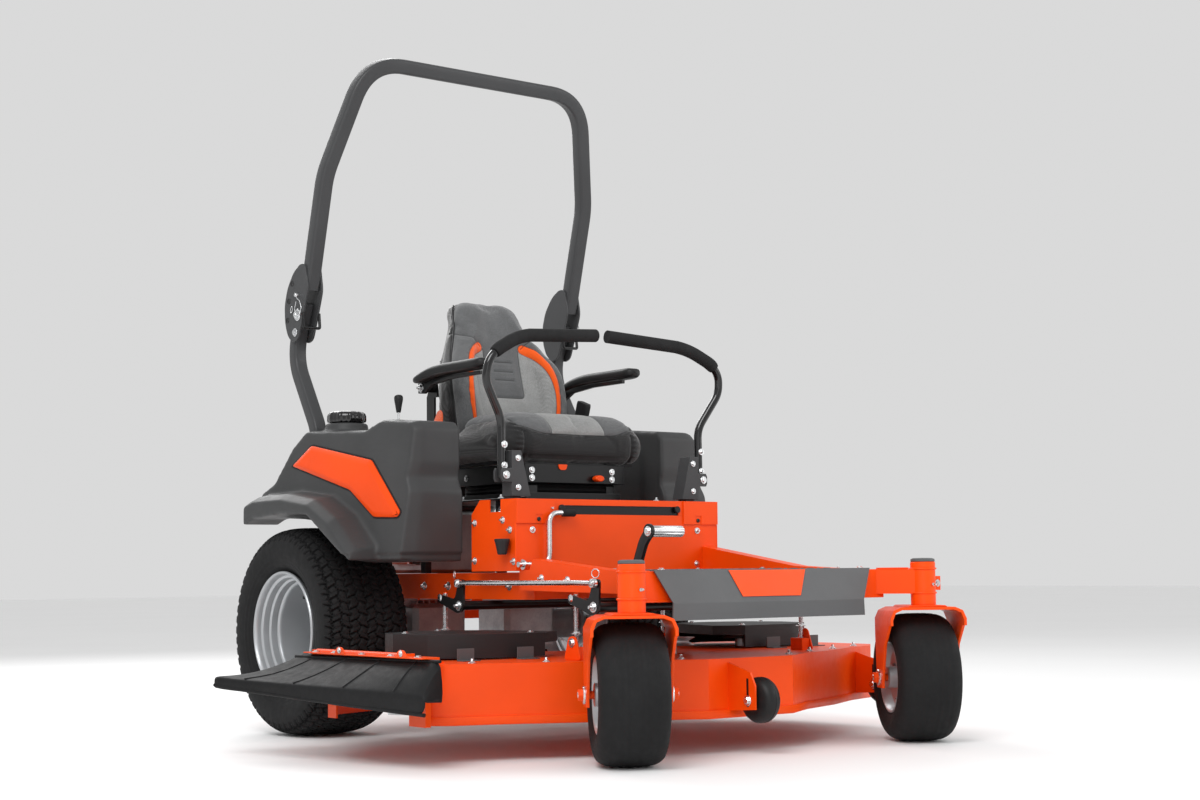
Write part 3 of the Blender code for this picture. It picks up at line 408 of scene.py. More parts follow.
def stud(bm, at, direction, r, length):
    """Threaded end: a run of small ridges."""
    m = turn_to(direction, at)
    pitch = 0.0016
    profile = [(0.0, 0.0)]
    for i in range(max(2, int(length / pitch))):
        profile += [(r, i * pitch), (0.88 * r, (i + 0.5) * pitch)]
    profile += [(0.8 * r, length), (0.0, length)]
    spin(bm, profile, 14, m, False)


def finish_mesh(bm, name, mats, body, stands_for=(), smooth=40, bevel=0.0, segments=2, levels=0,
                weld=1e-5):
    """Mesh in machine coordinates made into a shaded piece that rides on a body."""
    if weld:
        bmesh.ops.remove_doubles(bm, verts=bm.verts, dist=weld)
    bmesh.ops.recalc_face_normals(bm, faces=bm.faces)
    data = bpy.data.meshes.new(name)
    bm.to_mesh(data)
    bm.free()
    data.transform(Matrix.Translation(MACHINE))
    return dress(bpy.data.objects.new(name, data), mats, body, stands_for, smooth, bevel, segments,
        levels)


def dress(obj, mats, body, stands_for=(), smooth=40, bevel=0.0, segments=2, levels=0):
    if obj.name not in bpy.context.scene.collection.objects:
        bpy.context.scene.collection.objects.link(obj)
    obj.data.materials.clear()
    for mat in mats if isinstance(mats, (list, tuple)) else [mats]:
        obj.data.materials.append(MATS[mat])
    obj.data.shade_smooth()
    if bevel:
        mod = obj.modifiers.new("edges", "BEVEL")
        mod.width = bevel
        mod.segments = segments
        mod.limit_method = "ANGLE"
        mod.angle_limit = math.radians(32)
        mod.harden_normals = False
        mod.miter_outer = "MITER_ARC"
        even = obj.modifiers.new("even", "WEIGHTED_NORMAL")
        even.keep_sharp = True
    if levels:
        mod = obj.modifiers.new("fine", "SUBSURF")
        mod.levels = levels
        mod.render_levels = levels
    if not bevel:
        obj.data.set_sharp_from_angle(angle=math.radians(smooth))
    else:
        obj.data.set_sharp_from_angle(angle=math.radians(80))
    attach(obj, body)
    if stands_for:
        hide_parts(*stands_for)
    return obj


def applied(obj):
    """Mesh of an object with its modifiers applied."""
    bpy.context.view_layer.update()
    graph = bpy.context.evaluated_depsgraph_get()
    data = bpy.data.meshes.new_from_object(obj.evaluated_get(graph))
    old = obj.data
    obj.modifiers.clear()
    obj.data = data
    if old.users == 0:
        bpy.data.meshes.remove(old)
    return obj


def cad_copy(node, whole=True):
    """CAD node's mesh in machine coordinates, welded; whole joins the triangles of flat faces."""
    bm = bmesh.new()
    bm.from_mesh(frame["nodes"][node].data)
    bmesh.ops.transform(bm, matrix=Matrix.Translation(-MACHINE), verts=bm.verts)
    bmesh.ops.remove_doubles(bm, verts=bm.verts, dist=0.00004)
    if whole:
        bmesh.ops.dissolve_limit(bm, angle_limit=math.radians(1.0), verts=bm.verts, edges=bm.edges)
    return bm


def refine(node, mat, bevel=0.0012, segments=2, smooth=40, whole=True):
    """CAD piece kept in shape, with broken edges and a fine material."""
    body = frame["nodes"][node]["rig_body"]
    return finish_mesh(cad_copy(node, whole), f"{node}_finish", mat, body, [node], smooth, bevel,
        segments)


# ----------------------------------------------------------------------- camera
def make_camera():
    """Eye at knee height ahead of the machine's right front corner, looking slightly up."""
    eye = Vector((-3.2336, -4.2926, 0.4515))
    heading, pitch, roll = math.radians(37.97), math.radians(5.03), math.radians(-0.57)
    ahead = Vector((math.sin(heading) * math.cos(pitch), math.cos(heading) * math.cos(pitch),
        math.sin(pitch)))
    level = Vector((math.cos(heading), -math.sin(heading), 0.0))
    over = level.cross(ahead)
    right = level * math.cos(roll) + over * math.sin(roll)
    top = over * math.cos(roll) - level * math.sin(roll)
    data = bpy.data.cameras.new("camera")
    data.lens = 57.74
    data.sensor_width = 36.0
    cam = bpy.data.objects.new("camera", data)
    cam.matrix_world = Matrix.Translation(eye + MACHINE) @ Matrix((right, top, -ahead)).transposed().to_4x4()
    bpy.context.scene.collection.objects.link(cam)
    bpy.context.scene.camera = cam


def make_studio():
    bpy.ops.mesh.primitive_plane_add(size=60.0, location=(0, 0, 0))
    floor = bpy.context.object
    floor.name = "studio_floor"
    look = Look("studio_floor", 0.62, specular=0.25)
    look.colour(look.mix(look.ramp(look.noise(0.8, 3.0), 0.3, 0.7), (0.93, 0.93, 0.93), (0.95, 0.95, 0.95)))
    floor.data.materials.append(look.mat)
    world = bpy.data.worlds.new("studio")
    world.use_nodes = True
    world.node_tree.nodes["Background"].inputs[0].default_value = (1.0, 1.0, 1.0, 1.0)
    world.node_tree.nodes["Background"].inputs[1].default_value = 0.70
    bpy.context.scene.view_settings.view_transform = "Standard"
    bpy.context.scene.world = world
    for name, place, size, power, target in (
        ("key", (-3.4, -2.6, 4.2), 2.6, 150.0, (0.0, 0.0, 0.7)),
        ("fill", (3.4, -3.4, 2.6), 3.0, 60.0, (0.0, -0.2, 0.5)),
        ("back", (0.6, 4.0, 3.6), 3.0, 120.0, (0.0, 0.2, 0.9)),
        ("low", (-2.4, -4.2, 0.9), 2.2, 12.0, (-0.2, -0.4, 0.3)),
    ):
        data = bpy.data.lights.new(name, "AREA")
        data.energy = power
        data.size = size
        lamp = bpy.data.objects.new(name, data)
        lamp.matrix_world = turn_to(Vector(place) - Vector(target), place)
        bpy.context.scene.collection.objects.link(lamp)


make_camera()
make_studio()

# ----------------------------------------------------------------- wheels
def smoothstep(x, low, high):
    t = np.clip((x - low) / (high - low), 0.0, 1.0)
    return t * t * (3 - 2 * t)


def spline(points, count):
    """Catmull-Rom curve through points, resampled evenly along its length."""
    p = np.array(points, float)
    p = np.vstack([2 * p[0] - p[1], p, 2 * p[-1] - p[-2]])
    out = []
    for i in range(1, len(p) - 2):
        for t in np.linspace(0, 1, 24, endpoint=False):
            a, b, c, d = p[i - 1], p[i], p[i + 1], p[i + 2]
            out.append(0.5 * (2 * b + (c - a) * t + (2 * a - 5 * b + 4 * c - d) * t * t
                        + (3 * b - a - 3 * c + d) * t ** 3))
    out.append(p[-2])
    out = np.array(out)
    far = np.concatenate([[0], np.cumsum(np.linalg.norm(np.diff(out, axis=0), axis=1))])
    want = np.linspace(0, far[-1], count)
    return np.stack([np.interp(want, far, out[:, k]) for k in range(out.shape[1])], 1), want


def grid_piece(name, points, mats, body, stands_for, wrap_u=True, wrap_v=False, smooth=50):
    """Piece from a grid of points [u][v], closed round u and, if asked, round v."""
    nu, nv, _ = points.shape
    index = np.arange(nu * nv).reshape(nu, nv)
    u1 = np.roll(index, -1, 0) if wrap_u else index[1:]
    here = index if wrap_u else index[:-1]
    if wrap_v:
        a, b, c, d = here, u1, np.roll(u1, -1, 1), np.roll(here, -1, 1)
    else:
        a, b, c, d = here[:, :-1], u1[:, :-1], u1[:, 1:], here[:, 1:]
    faces = np.stack([a.ravel(), b.ravel(), c.ravel(), d.ravel()], 1)
    data = bpy.data.meshes.new(name)
    data.from_pydata((points.reshape(-1, 3) + np.array(MACHINE)).tolist(), [], faces.tolist())
    bm = bmesh.new()
    bm.from_mesh(data)
    bmesh.ops.remove_doubles(bm, verts=bm.verts, dist=1e-6)
    bmesh.ops.recalc_face_normals(bm, faces=bm.faces)
    bm.to_mesh(data)
    bm.free()
    return dress(bpy.data.objects.new(name, data), mats, body, stands_for, smooth)


def turf_height(theta, u, half, pitches=54, row=0.0265, depth=0.0075):
    """Depth of the grooves of a turf tread at an angle and a distance across from the middle."""
    phase = theta * pitches / (2 * math.pi)
    tri = 2 * np.abs((phase % 1.0) - 0.5) * 2 - 1
    across = u + 0.0045 * tri
    k = np.round(across / row)
    rib = np.abs(across / row - k)
    side = smoothstep((0.5 - rib) * row, 0.0010, 0.0026)
    shift = phase + 0.5 * (k % 2) + 2.2 * (across / row - k) * 0.16 * np.where(k % 2 == 0, 1, -1)
    cross = np.abs((shift % 1.0) - 0.5)
    wide = 0.0335
    gap = smoothstep((0.5 - cross) * wide, 0.0012, 0.0030)
    sipe = 1 - 0.45 * (1 - smoothstep(cross * wide, 0.0003, 0.0014))
    edge = smoothstep(half - np.abs(u), 0.0, 0.004)
    return -depth * (1 - side * gap * sipe) * edge


def rear_wheel(side, s):
    """Pneumatic turf tyre on a stepped, dished rim with slotted centre."""
    cx, cy, cz = REAR_WHEEL
    half = [(0.288, 0.0), (0.2878, 0.035), (0.2862, 0.070), (0.2815, 0.097), (0.2730, 0.1145),
        (0.2600, 0.1255),
            (0.2350, 0.1298), (0.2080, 0.1275), (0.1850, 0.1190), (0.1720, 0.1085), (0.1640, 0.1030)]
    curve, far = spline(half, 66)
    full = np.vstack([np.stack([curve[::-1, 0], -curve[::-1, 1]], 1), curve[1:]])
    u = np.concatenate([-far[::-1], far[1:]])
    steps = 648
    theta = np.linspace(0, 2 * math.pi, steps, endpoint=False)
    tangent = np.gradient(full, axis=0)
    tangent /= np.linalg.norm(tangent, axis=1)[:, None]
    normal = np.stack([tangent[:, 1], -tangent[:, 0]], 1)
    lift = turf_height(theta[:, None], u[None, :], 0.1430)
    ribs = 0.0011 * np.sin((full[:, 0] - 0.2) * 2 * math.pi / 0.012) * smoothstep(0.212 - full[:, 0], 0,
        0.01) \
        * smoothstep(full[:, 0] - 0.170, 0, 0.008)
    lift = lift + ribs[None, :]
    # shoulder lugs reach down the sidewall
    lug = np.abs(((theta * 54 / (2 * math.pi)) % 1.0) - 0.5)[:, None]
    reach = smoothstep(full[:, 0], 0.250, 0.256)[None, :] * (1 - smoothstep(full[:, 0], 0.268, 0.273))[None,
        :]
    lift = lift + reach * 0.0028 * (smoothstep(lug, 0.12, 0.20) - 1.0)
    r = full[None, :, 0] + lift * np.abs(normal[None, :, 0])
    x = full[None, :, 1] + lift * np.sign(full[None, :, 1]) * np.abs(normal[None, :, 1])
    points = np.stack([cx * s + x + 0 * r, cy + r * np.cos(theta)[:, None],
        cz + r * np.sin(theta)[:, None]], 2)
    grid_piece(f"rear_tyre_{side}_tread", points, "tyre", f"rear_wheel_{side}",
        [f"rear_tyre_{side}"])

    out = [(0.1625, 0.1035), (0.1670, 0.1130), (0.1676, 0.1170), (0.1655, 0.1198), (0.1615, 0.1200),
        (0.1588, 0.1170),
           (0.1570, 0.1090), (0.1560, 0.1010), (0.1510, 0.0985), (0.1492, 0.0970), (0.1478,
               0.0900), (0.1470, 0.0800),
           (0.1425, 0.0775), (0.1410, 0.0760), (0.1398, 0.0690), (0.1390, 0.0580), (0.1345,
               0.0555), (0.1330, 0.0535),
           (0.1320, 0.0460), (0.1312, -0.0500), (0.1300, -0.0880), (0.1265, -0.0965), (0.1180, -0.0990)]
    bm = bmesh.new()
    matrix = Matrix.Translation((s * cx, cy, cz)) @ Matrix.Rotation(s * math.pi / 2, 4, "Y")
    back = [(0.1180, -0.1030), (0.1290, -0.1015), (0.1345, -0.0930), (0.1352, 0.0400), (0.1420, 0.0560),
        (0.1480, 0.0760),
            (0.1545, 0.0960)]
    spin(bm, out + back, 96, matrix)
    inner = [(0.1352, -0.0600), (0.1540, -0.0960), (0.1625, -0.1035), (0.1670, -0.1150), (0.1640, -0.1180),
        (0.1590, -0.1120),
             (0.1500, -0.0940), (0.1330, -0.0560)]
    spin(bm, inner, 96, matrix)
    finish_mesh(bm, f"rear_rim_{side}_barrel", "rim", f"rear_wheel_{side}",
        [f"rear_rim_{side}"], 30)

    # centre disc with eight long slots, raised hub and lug nuts
    bm = bmesh.new()
    radii = [0.020, 0.034, 0.042, 0.050, 0.066, 0.072, 0.077, 0.083, 0.089, 0.095, 0.100, 0.108, 0.1195]
    lifts = [0.010, 0.010, 0.009, 0.004, 0.001, 0.000, 0.000, 0.000, 0.000, 0.000, 0.000, 0.002, 0.006]
    spokes, slices = 8, 15
    n = spokes * slices
    rings = []
    for r, z in zip(radii, lifts):
        rings.append([bm.verts.new(matrix @ Vector((r * math.cos(2 * math.pi * i / n),
            r * math.sin(2 * math.pi * i / n),
                                                    -0.1000 + z))) for i in range(n)])
    opened = {5: (4, 10), 6: (3, 11), 7: (3, 11), 8: (3, 11), 9: (4, 10)}
    for k in range(len(radii) - 1):
        for i in range(n):
            low, high = opened.get(k, (99, 0))
            if low <= i % slices <= high:
                continue
            j = (i + 1) % n
            bm.faces.new((rings[k][i], rings[k][j], rings[k + 1][j], rings[k + 1][i]))
    disc = finish_mesh(bm, f"rear_rim_{side}_disc", "rim", f"rear_wheel_{side}", (), 40)
    mod = disc.modifiers.new("sheet", "SOLIDIFY")
    mod.thickness = 0.005
    mod.offset = 0.0
    bm = bmesh.new()
    axis = Vector((s, 0, 0))
    spin(bm, [(0.0, 0.030), (0.018, 0.030), (0.024, 0.026), (0.026, 0.018), (0.026, 0.0), (0.0, 0.0)], 32,
         matrix @ Matrix.Translation((0, 0, -0.094)), False)
    for i in range(5):
        a = 2 * math.pi * i / 5 + 0.3
        at = Vector((s * cx - s * 0.0960, cy + 0.052 * math.cos(a), cz + 0.052 * math.sin(a)))
        bolt(bm, at, axis, 0.0105, 0.014)
        stud(bm, at + axis * 0.013, axis, 0.0055, 0.010)
    finish_mesh(bm, f"rear_hub_{side}_nuts", "zinc", f"rear_wheel_{side}", (), 30)
    bm = bmesh.new()
    stem = Vector((s * (cx + 0.100), cy + 0.139 * math.cos(2.4), cz + 0.139 * math.sin(2.4)))
    spin(bm, [(0.0, 0.0), (0.0055, 0.0), (0.0050, 0.010), (0.0040, 0.012), (0.0040, 0.024), (0.0, 0.025)], 14,
         turn_to((s, 0, 0), stem - Vector((s * 0.014, 0, 0))), False)
    finish_mesh(bm, f"rear_valve_{side}", "plastic", f"rear_wheel_{side}", (), 40)


def caster(side, s):
    """Smooth ribbed tyre, small dished rim and the fork's axle hardware."""
    pivot = Vector((s * CASTER_PIVOT.x, CASTER_PIVOT.y, 0))
    turn = Matrix.Translation(pivot) @ Matrix.Rotation(CASTER_TURN, 4, "Z")
    hub = turn @ Matrix.Translation((0, CASTER_TRAIL, CASTER_R)) @ Matrix.Rotation(math.pi / 2, 4, "Y")
    half = [(0.1650, 0.0), (0.1648, 0.022), (0.1632, 0.044), (0.1585, 0.062), (0.1490, 0.0755),
        (0.1330, 0.0818),
            (0.1150, 0.0815), (0.0990, 0.0760), (0.0880, 0.0680)]
    curve, _ = spline(half, 40)
    for at in (0.014, 0.031, 0.047):
        curve[:, 0] -= 0.0016 * np.exp(-(((curve[:, 1] - at) / 0.0017) ** 2)) * (curve[:, 0] > 0.13)
    curve[:, 1] += 0.0010 * np.sin((curve[:, 0] - 0.09) * 2 * math.pi / 0.010) * ((curve[:,
        0] < 0.128) & (curve[:, 0] > 0.095))
    full = np.vstack([np.stack([curve[::-1, 0], -curve[::-1, 1]], 1), curve[1:]])
    bm = bmesh.new()
    spin(bm, [(r, x) for r, x in full], 128, hub, False)
    bmesh.ops.delete(bm, geom=[f for f in bm.faces if len(f.verts) > 4], context="FACES")
    finish_mesh(bm, f"caster_tyre_{side}_skin", "tyre", f"caster_wheel_{side}",
        [f"caster_tyre_{side}"], 60)
    profile = [(0.0880, 0.0640), (0.0915, 0.0700), (0.0915, 0.0735), (0.0880, 0.0750), (0.0850, 0.0725),
        (0.0800, 0.0600),
               (0.0760, 0.0520), (0.0600, 0.0420), (0.0480, 0.0330), (0.0340, 0.0320), (0.0285,
                   0.0360), (0.0270, 0.0780),
               (0.0240, 0.0790), (0.0110, 0.0790)]
    profile = profile + [(r, -x) for r, x in reversed(profile)]
    bm = bmesh.new()
    spin(bm, profile, 64, hub)
    finish_mesh(bm, f"caster_rim_{side}_dish", "rim", f"caster_wheel_{side}",
        [f"caster_rim_{side}"], 30)
    bm = bmesh.new()
    for i in range(4):
        a = 2 * math.pi * i / 4 + 0.4
        for way in (1, -1):
            at = hub @ Vector((0.066 * math.cos(a), 0.066 * math.sin(a), way * 0.0455))
            bolt(bm, at, hub.to_3x3() @ Vector((0, 0, way)), 0.0062, 0.006)
    finish_mesh(bm, f"caster_nuts_{side}", "zinc", f"caster_wheel_{side}", (), 30)

    fork = f"fork_{side}"
    bm = cad_copy(f"caster_fork_{side}")
    finish_mesh(bm, f"caster_fork_{side}_finish", "orange", fork, [f"caster_fork_{side}"],
        40, 0.0015)
    bm = bmesh.new()
    for way in (1, -1):
        out = turn.to_3x3() @ Vector((way, 0, 0))
        at = turn @ Vector((way * 0.1005, CASTER_TRAIL, CASTER_R))
        bolt(bm, at, out, 0.0135, 0.0135)
        stud(bm, at + out * 0.012, out, 0.0075, 0.005)
    # grease nipple and snap ring on the head
    spin(bm, [(0, 0), (0.0035, 0), (0.0035, 0.004), (0.0022, 0.006), (0.0028, 0.009), (0, 0.010)], 12,
         turn_to((0, 0, 1), (pivot.x, pivot.y, 0.4500)), False)
    finish_mesh(bm, f"caster_axle_{side}_ends", "zinc", fork, (), 30)
    # roof channel pressed over the fork's crown
    bm = bmesh.new()
    rings = []
    for y in (-0.040, 0.108):
        ring = [(-0.052, y, 0.3478), (-0.046, y, 0.3520), (0.046, y, 0.3520), (0.052, y, 0.3478),
            (0.044, y, 0.3478),
                (-0.044, y, 0.3478)]
        rings.append([turn @ Vector(p) for p in ring])
    loft(bm, rings)
    finish_mesh(bm, f"caster_crown_{side}", "orange", fork, (), 40, 0.0012)


for side, s in SIDES:
    rear_wheel(side, s)
    caster(side, s)


# ---------------------------------------------------------------- fenders
def remeshed(obj, voxel, passes, factor=0.5):
    """Object's surface rebuilt as an even net and eased, so that moulded edges come out round."""
    mod = obj.modifiers.new("net", "REMESH")
    mod.mode = "VOXEL"
    mod.voxel_size = voxel
    mod.use_smooth_shade = True
    ease = obj.modifiers.new("ease", "SMOOTH")
    ease.factor = factor
    ease.iterations = passes
    return applied(obj)


def coords(obj):
    co = np.zeros(len(obj.data.vertices) * 3)
    obj.data.vertices.foreach_get("co", co)
    return co.reshape(-1, 3) - np.array(MACHINE)


def set_coords(obj, co):
    obj.data.vertices.foreach_set("co", (co + np.array(MACHINE)).ravel())
    obj.data.update()


def fender(side, s):
    bm = cad_copy(f"fender_{side}")
    obj = finish_mesh(bm, f"fender_{side}_moulding", "fender", "chassis",
        [f"fender_{side}"], 180)
    remeshed(obj, 0.0045, 16)
    co = coords(obj)
    # stepped band along the bottom, and a shallow joint line round the flare
    out = s * co[:, 0]
    low = 1 - smoothstep(co[:, 2], 0.496, 0.500)
    front = smoothstep(0.205 - co[:, 1], 0.0, 0.02)
    co[:, 0] -= s * 0.006 * low * front * smoothstep(out, 0.45, 0.50)
    co[:, 1] += 0.006 * low * (1 - smoothstep(co[:, 1], 0.010, 0.030))
    set_coords(obj, co)
    obj.data.shade_smooth()

    def trim_x(y, z):
        return 0.512 + 0.11 * y - 0.16 * (z - 0.690)

    outline = [(0.030, 0.607), (0.185, 0.752), (0.470, 0.806), (0.548, 0.752), (0.262, 0.674),
        (0.140, 0.597), (0.040, 0.594)]
    middle = Vector((sum(y for y, _ in outline) / len(outline), sum(z for _, z in outline) / len(outline)))

    def inset_line(by):
        """Outline moved inward, its corners cut round."""
        n = len(outline)
        moved = []
        for i in range(n):
            a, b, c = (Vector(outline[(i + k) % n]) for k in (-1, 0, 1))
            u, v = (b - a).normalized(), (c - b).normalized()
            m = Vector((-u.y, u.x)) + Vector((-v.y, v.x))
            m.normalize()
            inward = m if m.dot(middle - b) > 0 else -m
            share = max(0.35, abs(m.dot(Vector((-u.y, u.x)))))
            moved.append(b + inward * by / share)
        out = []
        for i in range(n):
            a, b, c = (moved[(i + k) % n] for k in (-1, 0, 1))
            p, q = b + (a - b).normalized() * 0.009, b + (c - b).normalized() * 0.009
            for t in (0.0, 0.33, 0.67, 1.0):
                out.append(p.lerp(b, t).lerp(b.lerp(q, t), t))
        return out

    # black band painted as the shade in the gap round the orange insert
    bm = bmesh.new()
    rings = []
    for by, off in ((-0.0045, -0.004), (-0.0045, 0.0012), (-0.0005, 0.0012), (-0.0005, -0.002)):
        rings.append([(s * (trim_x(p.x, p.y) + off), p.x, p.y) for p in inset_line(by)])
    loft(bm, rings, False)
    finish_mesh(bm, f"fender_trim_{side}_gap", "plastic", "chassis", (), 30)
    bm = bmesh.new()
    rings = []
    for by, off in ((0.0, -0.002), (0.0, 0.0034), (0.0016, 0.0050), (0.0125, 0.0090), (0.0150, 0.0094)):
        rings.append([(s * (trim_x(p.x, p.y) + off), p.x, p.y) for p in inset_line(by)])
    loft(bm, rings)
    finish_mesh(bm, f"fender_trim_{side}_insert", "orange", "chassis",
        [f"fender_trim_{side}"], 25, 0.0)

    # fuel cap: ten rounded grips round a dished crown
    top = Vector((s * 0.452, 0.440, 0.8708))
    profile = [(0.0, 0.0290), (0.022, 0.0290), (0.026, 0.0310), (0.034, 0.0330), (0.044, 0.0315),
        (0.0495, 0.0270),
               (0.0520, 0.0200), (0.0525, 0.0080), (0.0505, 0.0025), (0.040, 0.0)]
    n = 120
    pts = np.zeros((n, len(profile), 3))
    for i in range(n):
        a = 2 * math.pi * i / n
        lobe = max(0.0, math.cos(10 * a)) ** 0.6
        for k, (r, z) in enumerate(profile):
            share = min(1.0, max(0.0, (r - 0.030) / 0.02))
            rr = r + 0.0035 * lobe * share
            pts[i, k] = (top.x + rr * math.cos(a), top.y + rr * math.sin(a), top.z + z)
    grid_piece(f"fuel_cap_{side}_grip", pts, "gloss_black", f"cap_{side}",
        [f"fuel_cap_{side}"], smooth=40)
    bm = bmesh.new()
    spin(bm, [(0.030, 0.0), (0.0660, 0.0), (0.0672, 0.0030), (0.0660, 0.0060), (0.0590, 0.0070),
        (0.0575, 0.0280),
              (0.0550, 0.0330), (0.030, 0.0330)], 48, Matrix.Translation((top.x, top.y, 0.8362)))
    for i in range(6):
        a = 2 * math.pi * i / 6
        spin(bm, [(0.0, 0.0), (0.0050, 0.0), (0.0050, 0.0022), (0.0030, 0.0034), (0.0, 0.0034)], 12,
             Matrix.Translation((top.x + 0.0625 * math.cos(a), top.y + 0.0625 * math.sin(a), 0.8420)), False)
    finish_mesh(bm, f"fuel_neck_{side}", "dark", "chassis", (), 35)


for side, s in SIDES:
    fender(side, s)

# throttle: a slim rod with a tapered knob, in a slotted guide
bm = bmesh.new()
foot = Vector((-0.420, 0.215, 0.8575))
spin(bm, [(0.0, 0.0795), (0.0060, 0.0790), (0.0105, 0.0765), (0.0124, 0.0710), (0.0120, 0.0640),
    (0.0098, 0.0520),
          (0.0078, 0.0400), (0.0066, 0.0330), (0.0060, 0.0300), (0.0,
              0.0300)], 32, Matrix.Translation(foot), False)
finish_mesh(bm, "throttle_knob", "plastic", "throttle", ["throttle_lever"], 50)
bm = bmesh.new()
tube(bm, [foot + Vector((0, 0, z)) for z in (-0.004, 0.010, 0.022, 0.034)], circle(0.0030, 14))
spin(bm, [(0.0, -0.006), (0.0070, -0.006), (0.0076, -0.004), (0.0076, 0.004), (0.0070, 0.006),
    (0.0, 0.006)], 20,
     Matrix.Translation(foot) @ Matrix.Rotation(math.pi / 2, 4, "Y"), False)
finish_mesh(bm, "throttle_rod", "zinc", "throttle", (), 40)


# ---------------------------------------------------------------- seat
def seat_look(name, base, light, accent):
    """Seat cloth: panel colours chosen by distances stored on the mesh, over a plain weave."""
    look = Look(name, 0.86, sheen=0.35, specular=0.25)
    cloud = look.noise(26.0, 5.0, 0.6)
    weave = woven(look, 0.0032, 0.00022)
    fleck = look.ramp(look.noise(700.0, 2.0), 0.42, 0.58, 0.80, 1.20)
    cloth = look.mix(look.ramp(look.attribute("light"), -0.0004, 0.0004), base, light)
    shade = look.mix(look.ramp(cloud, 0.3, 0.7), (0.86, 0.86, 0.86), (1.08, 1.08, 1.08))
    thread = look.ramp(weave, -1.5, 1.5, 0.78, 1.16)
    tone = look.node("ShaderNodeMix", data_type="RGBA", blend_type="MULTIPLY")
    tone.inputs[0].default_value = 1.0
    look.link(cloth, tone.inputs[6])
    look.link(shade, tone.inputs[7])
    toned = look.node("ShaderNodeVectorMath", operation="SCALE")
    look.link(tone.outputs[2], toned.inputs[0])
    look.link(look.math("MULTIPLY", thread, fleck), toned.inputs["Scale"])
    stripe = look.mix(look.ramp(look.attribute("stripe"), -0.0004, 0.0004), toned.outputs[0], accent)
    side = look.mix(look.ramp(look.attribute("vinyl"), -0.0004, 0.0004), stripe, (0.0075, 0.0075, 0.008))
    seam = look.ramp(look.math("ABSOLUTE", look.attribute("seam")), 0.0006, 0.0022, 0.62, 0.0, True)
    look.colour(look.mix(seam, side, (0.010, 0.010, 0.010)))
    glossy = look.ramp(look.attribute("vinyl"), -0.0004, 0.0004, 0.86, 0.40)
    look.link(glossy, look.shader.inputs["Roughness"])
    return look.mat


def vinyl(name, colour, rough=0.38):
    look = Look(name, rough, coat=0.08, specular=0.5)
    cloud = look.noise(20.0, 5.0)
    look.colour(look.mix(look.ramp(cloud, 0.3, 0.7), scaled(colour, 0.85), scaled(colour, 1.15)))
    look.rough(look.noise(60.0, 4.0), rough * 0.85, rough * 1.2)
    look.bump(look.cells(650.0), 0.00014, 0.8)
    look.bump(look.noise(24.0, 3.0), 0.0012, 0.35)
    return look.mat


MATS["seat"] = seat_look("seat_cloth", (0.125, 0.128, 0.131), (0.285, 0.288, 0.284), (0.85, 0.105, 0.010))
MATS["piping"] = vinyl("seat_piping", (0.010, 0.010, 0.011), 0.45)


def belt_webbing():
    look = Look("seat_belt_webbing", 0.72, sheen=0.2)
    rib = look.wave(260.0, "Y", 0.4)
    look.colour(look.mix(rib, (0.70, 0.075, 0.006), (0.95, 0.13, 0.014)))
    look.bump(rib, 0.0003, 0.8)
    return look.mat


MATS["webbing"] = belt_webbing()


def inflate(obj, voxel, cap, pressure=4.0, frames=20):
    """Pressure swells the padded form like stuffing; each point moves by the cap at most."""
    mod = obj.modifiers.new("net", "REMESH")
    mod.mode = "VOXEL"
    mod.voxel_size = voxel
    mod.use_smooth_shade = True
    ease = obj.modifiers.new("ease", "SMOOTH")
    ease.factor = 0.5
    ease.iterations = 14
    applied(obj)
    before = coords(obj)
    cloth = obj.modifiers.new("stuffing", "CLOTH")
    cloth.settings.quality = 4
    cloth.settings.use_pressure = True
    cloth.settings.uniform_pressure_force = pressure
    cloth.settings.effector_weights.gravity = 0.0
    cloth.settings.tension_stiffness = 18.0
    cloth.settings.compression_stiffness = 18.0
    scene = bpy.context.scene
    for step in range(1, frames + 1):
        scene.frame_set(step)
    applied(obj)
    scene.frame_set(1)
    after = coords(obj)
    move = after - before
    far = np.linalg.norm(move, axis=1)
    scale = np.where(far > cap, cap / np.maximum(far, 1e-9), 1.0)
    set_coords(obj, before + move * scale[:, None])
    return obj


def store(obj, name, values):
    attribute = obj.data.attributes.new(name, "FLOAT", "POINT")
    attribute.data.foreach_set("value", values.astype(np.float32))


def normals(obj):
    no = np.zeros(len(obj.data.vertices) * 3)
    obj.data.vertices.foreach_get("normal", no)
    return no.reshape(-1, 3)


def near_polyline(px, pz, line):
    """Distance of points to an open polyline in a plane."""
    best = np.full(len(px), 1e9)
    for (ax, az), (bx, bz) in zip(line, line[1:]):
        dx, dz = bx - ax, bz - az
        t = np.clip(((px - ax) * dx + (pz - az) * dz) / (dx * dx + dz * dz), 0, 1)
        best = np.minimum(best, np.hypot(px - ax - t * dx, pz - az - t * dz))
    return best


def ease_line(points, count=60):
    return [tuple(p) for p in spline(points, count)[0]]


# backrest: wings come forward of the middle, and the head is narrow
BACK_RINGS = (
    (0.8330, 0.160, 0.272, 0.262, 0.368), (0.8500, 0.180, 0.270, 0.234, 0.402), (0.9300, 0.188, 0.292,
        0.232, 0.414),
    (1.0300, 0.181, 0.320, 0.254, 0.430), (1.1000, 0.152, 0.338, 0.298, 0.450), (1.1700, 0.116, 0.362,
        0.344, 0.478),
    (1.2250, 0.098, 0.386, 0.380, 0.496), (1.2460, 0.072, 0.406, 0.406, 0.486),
)


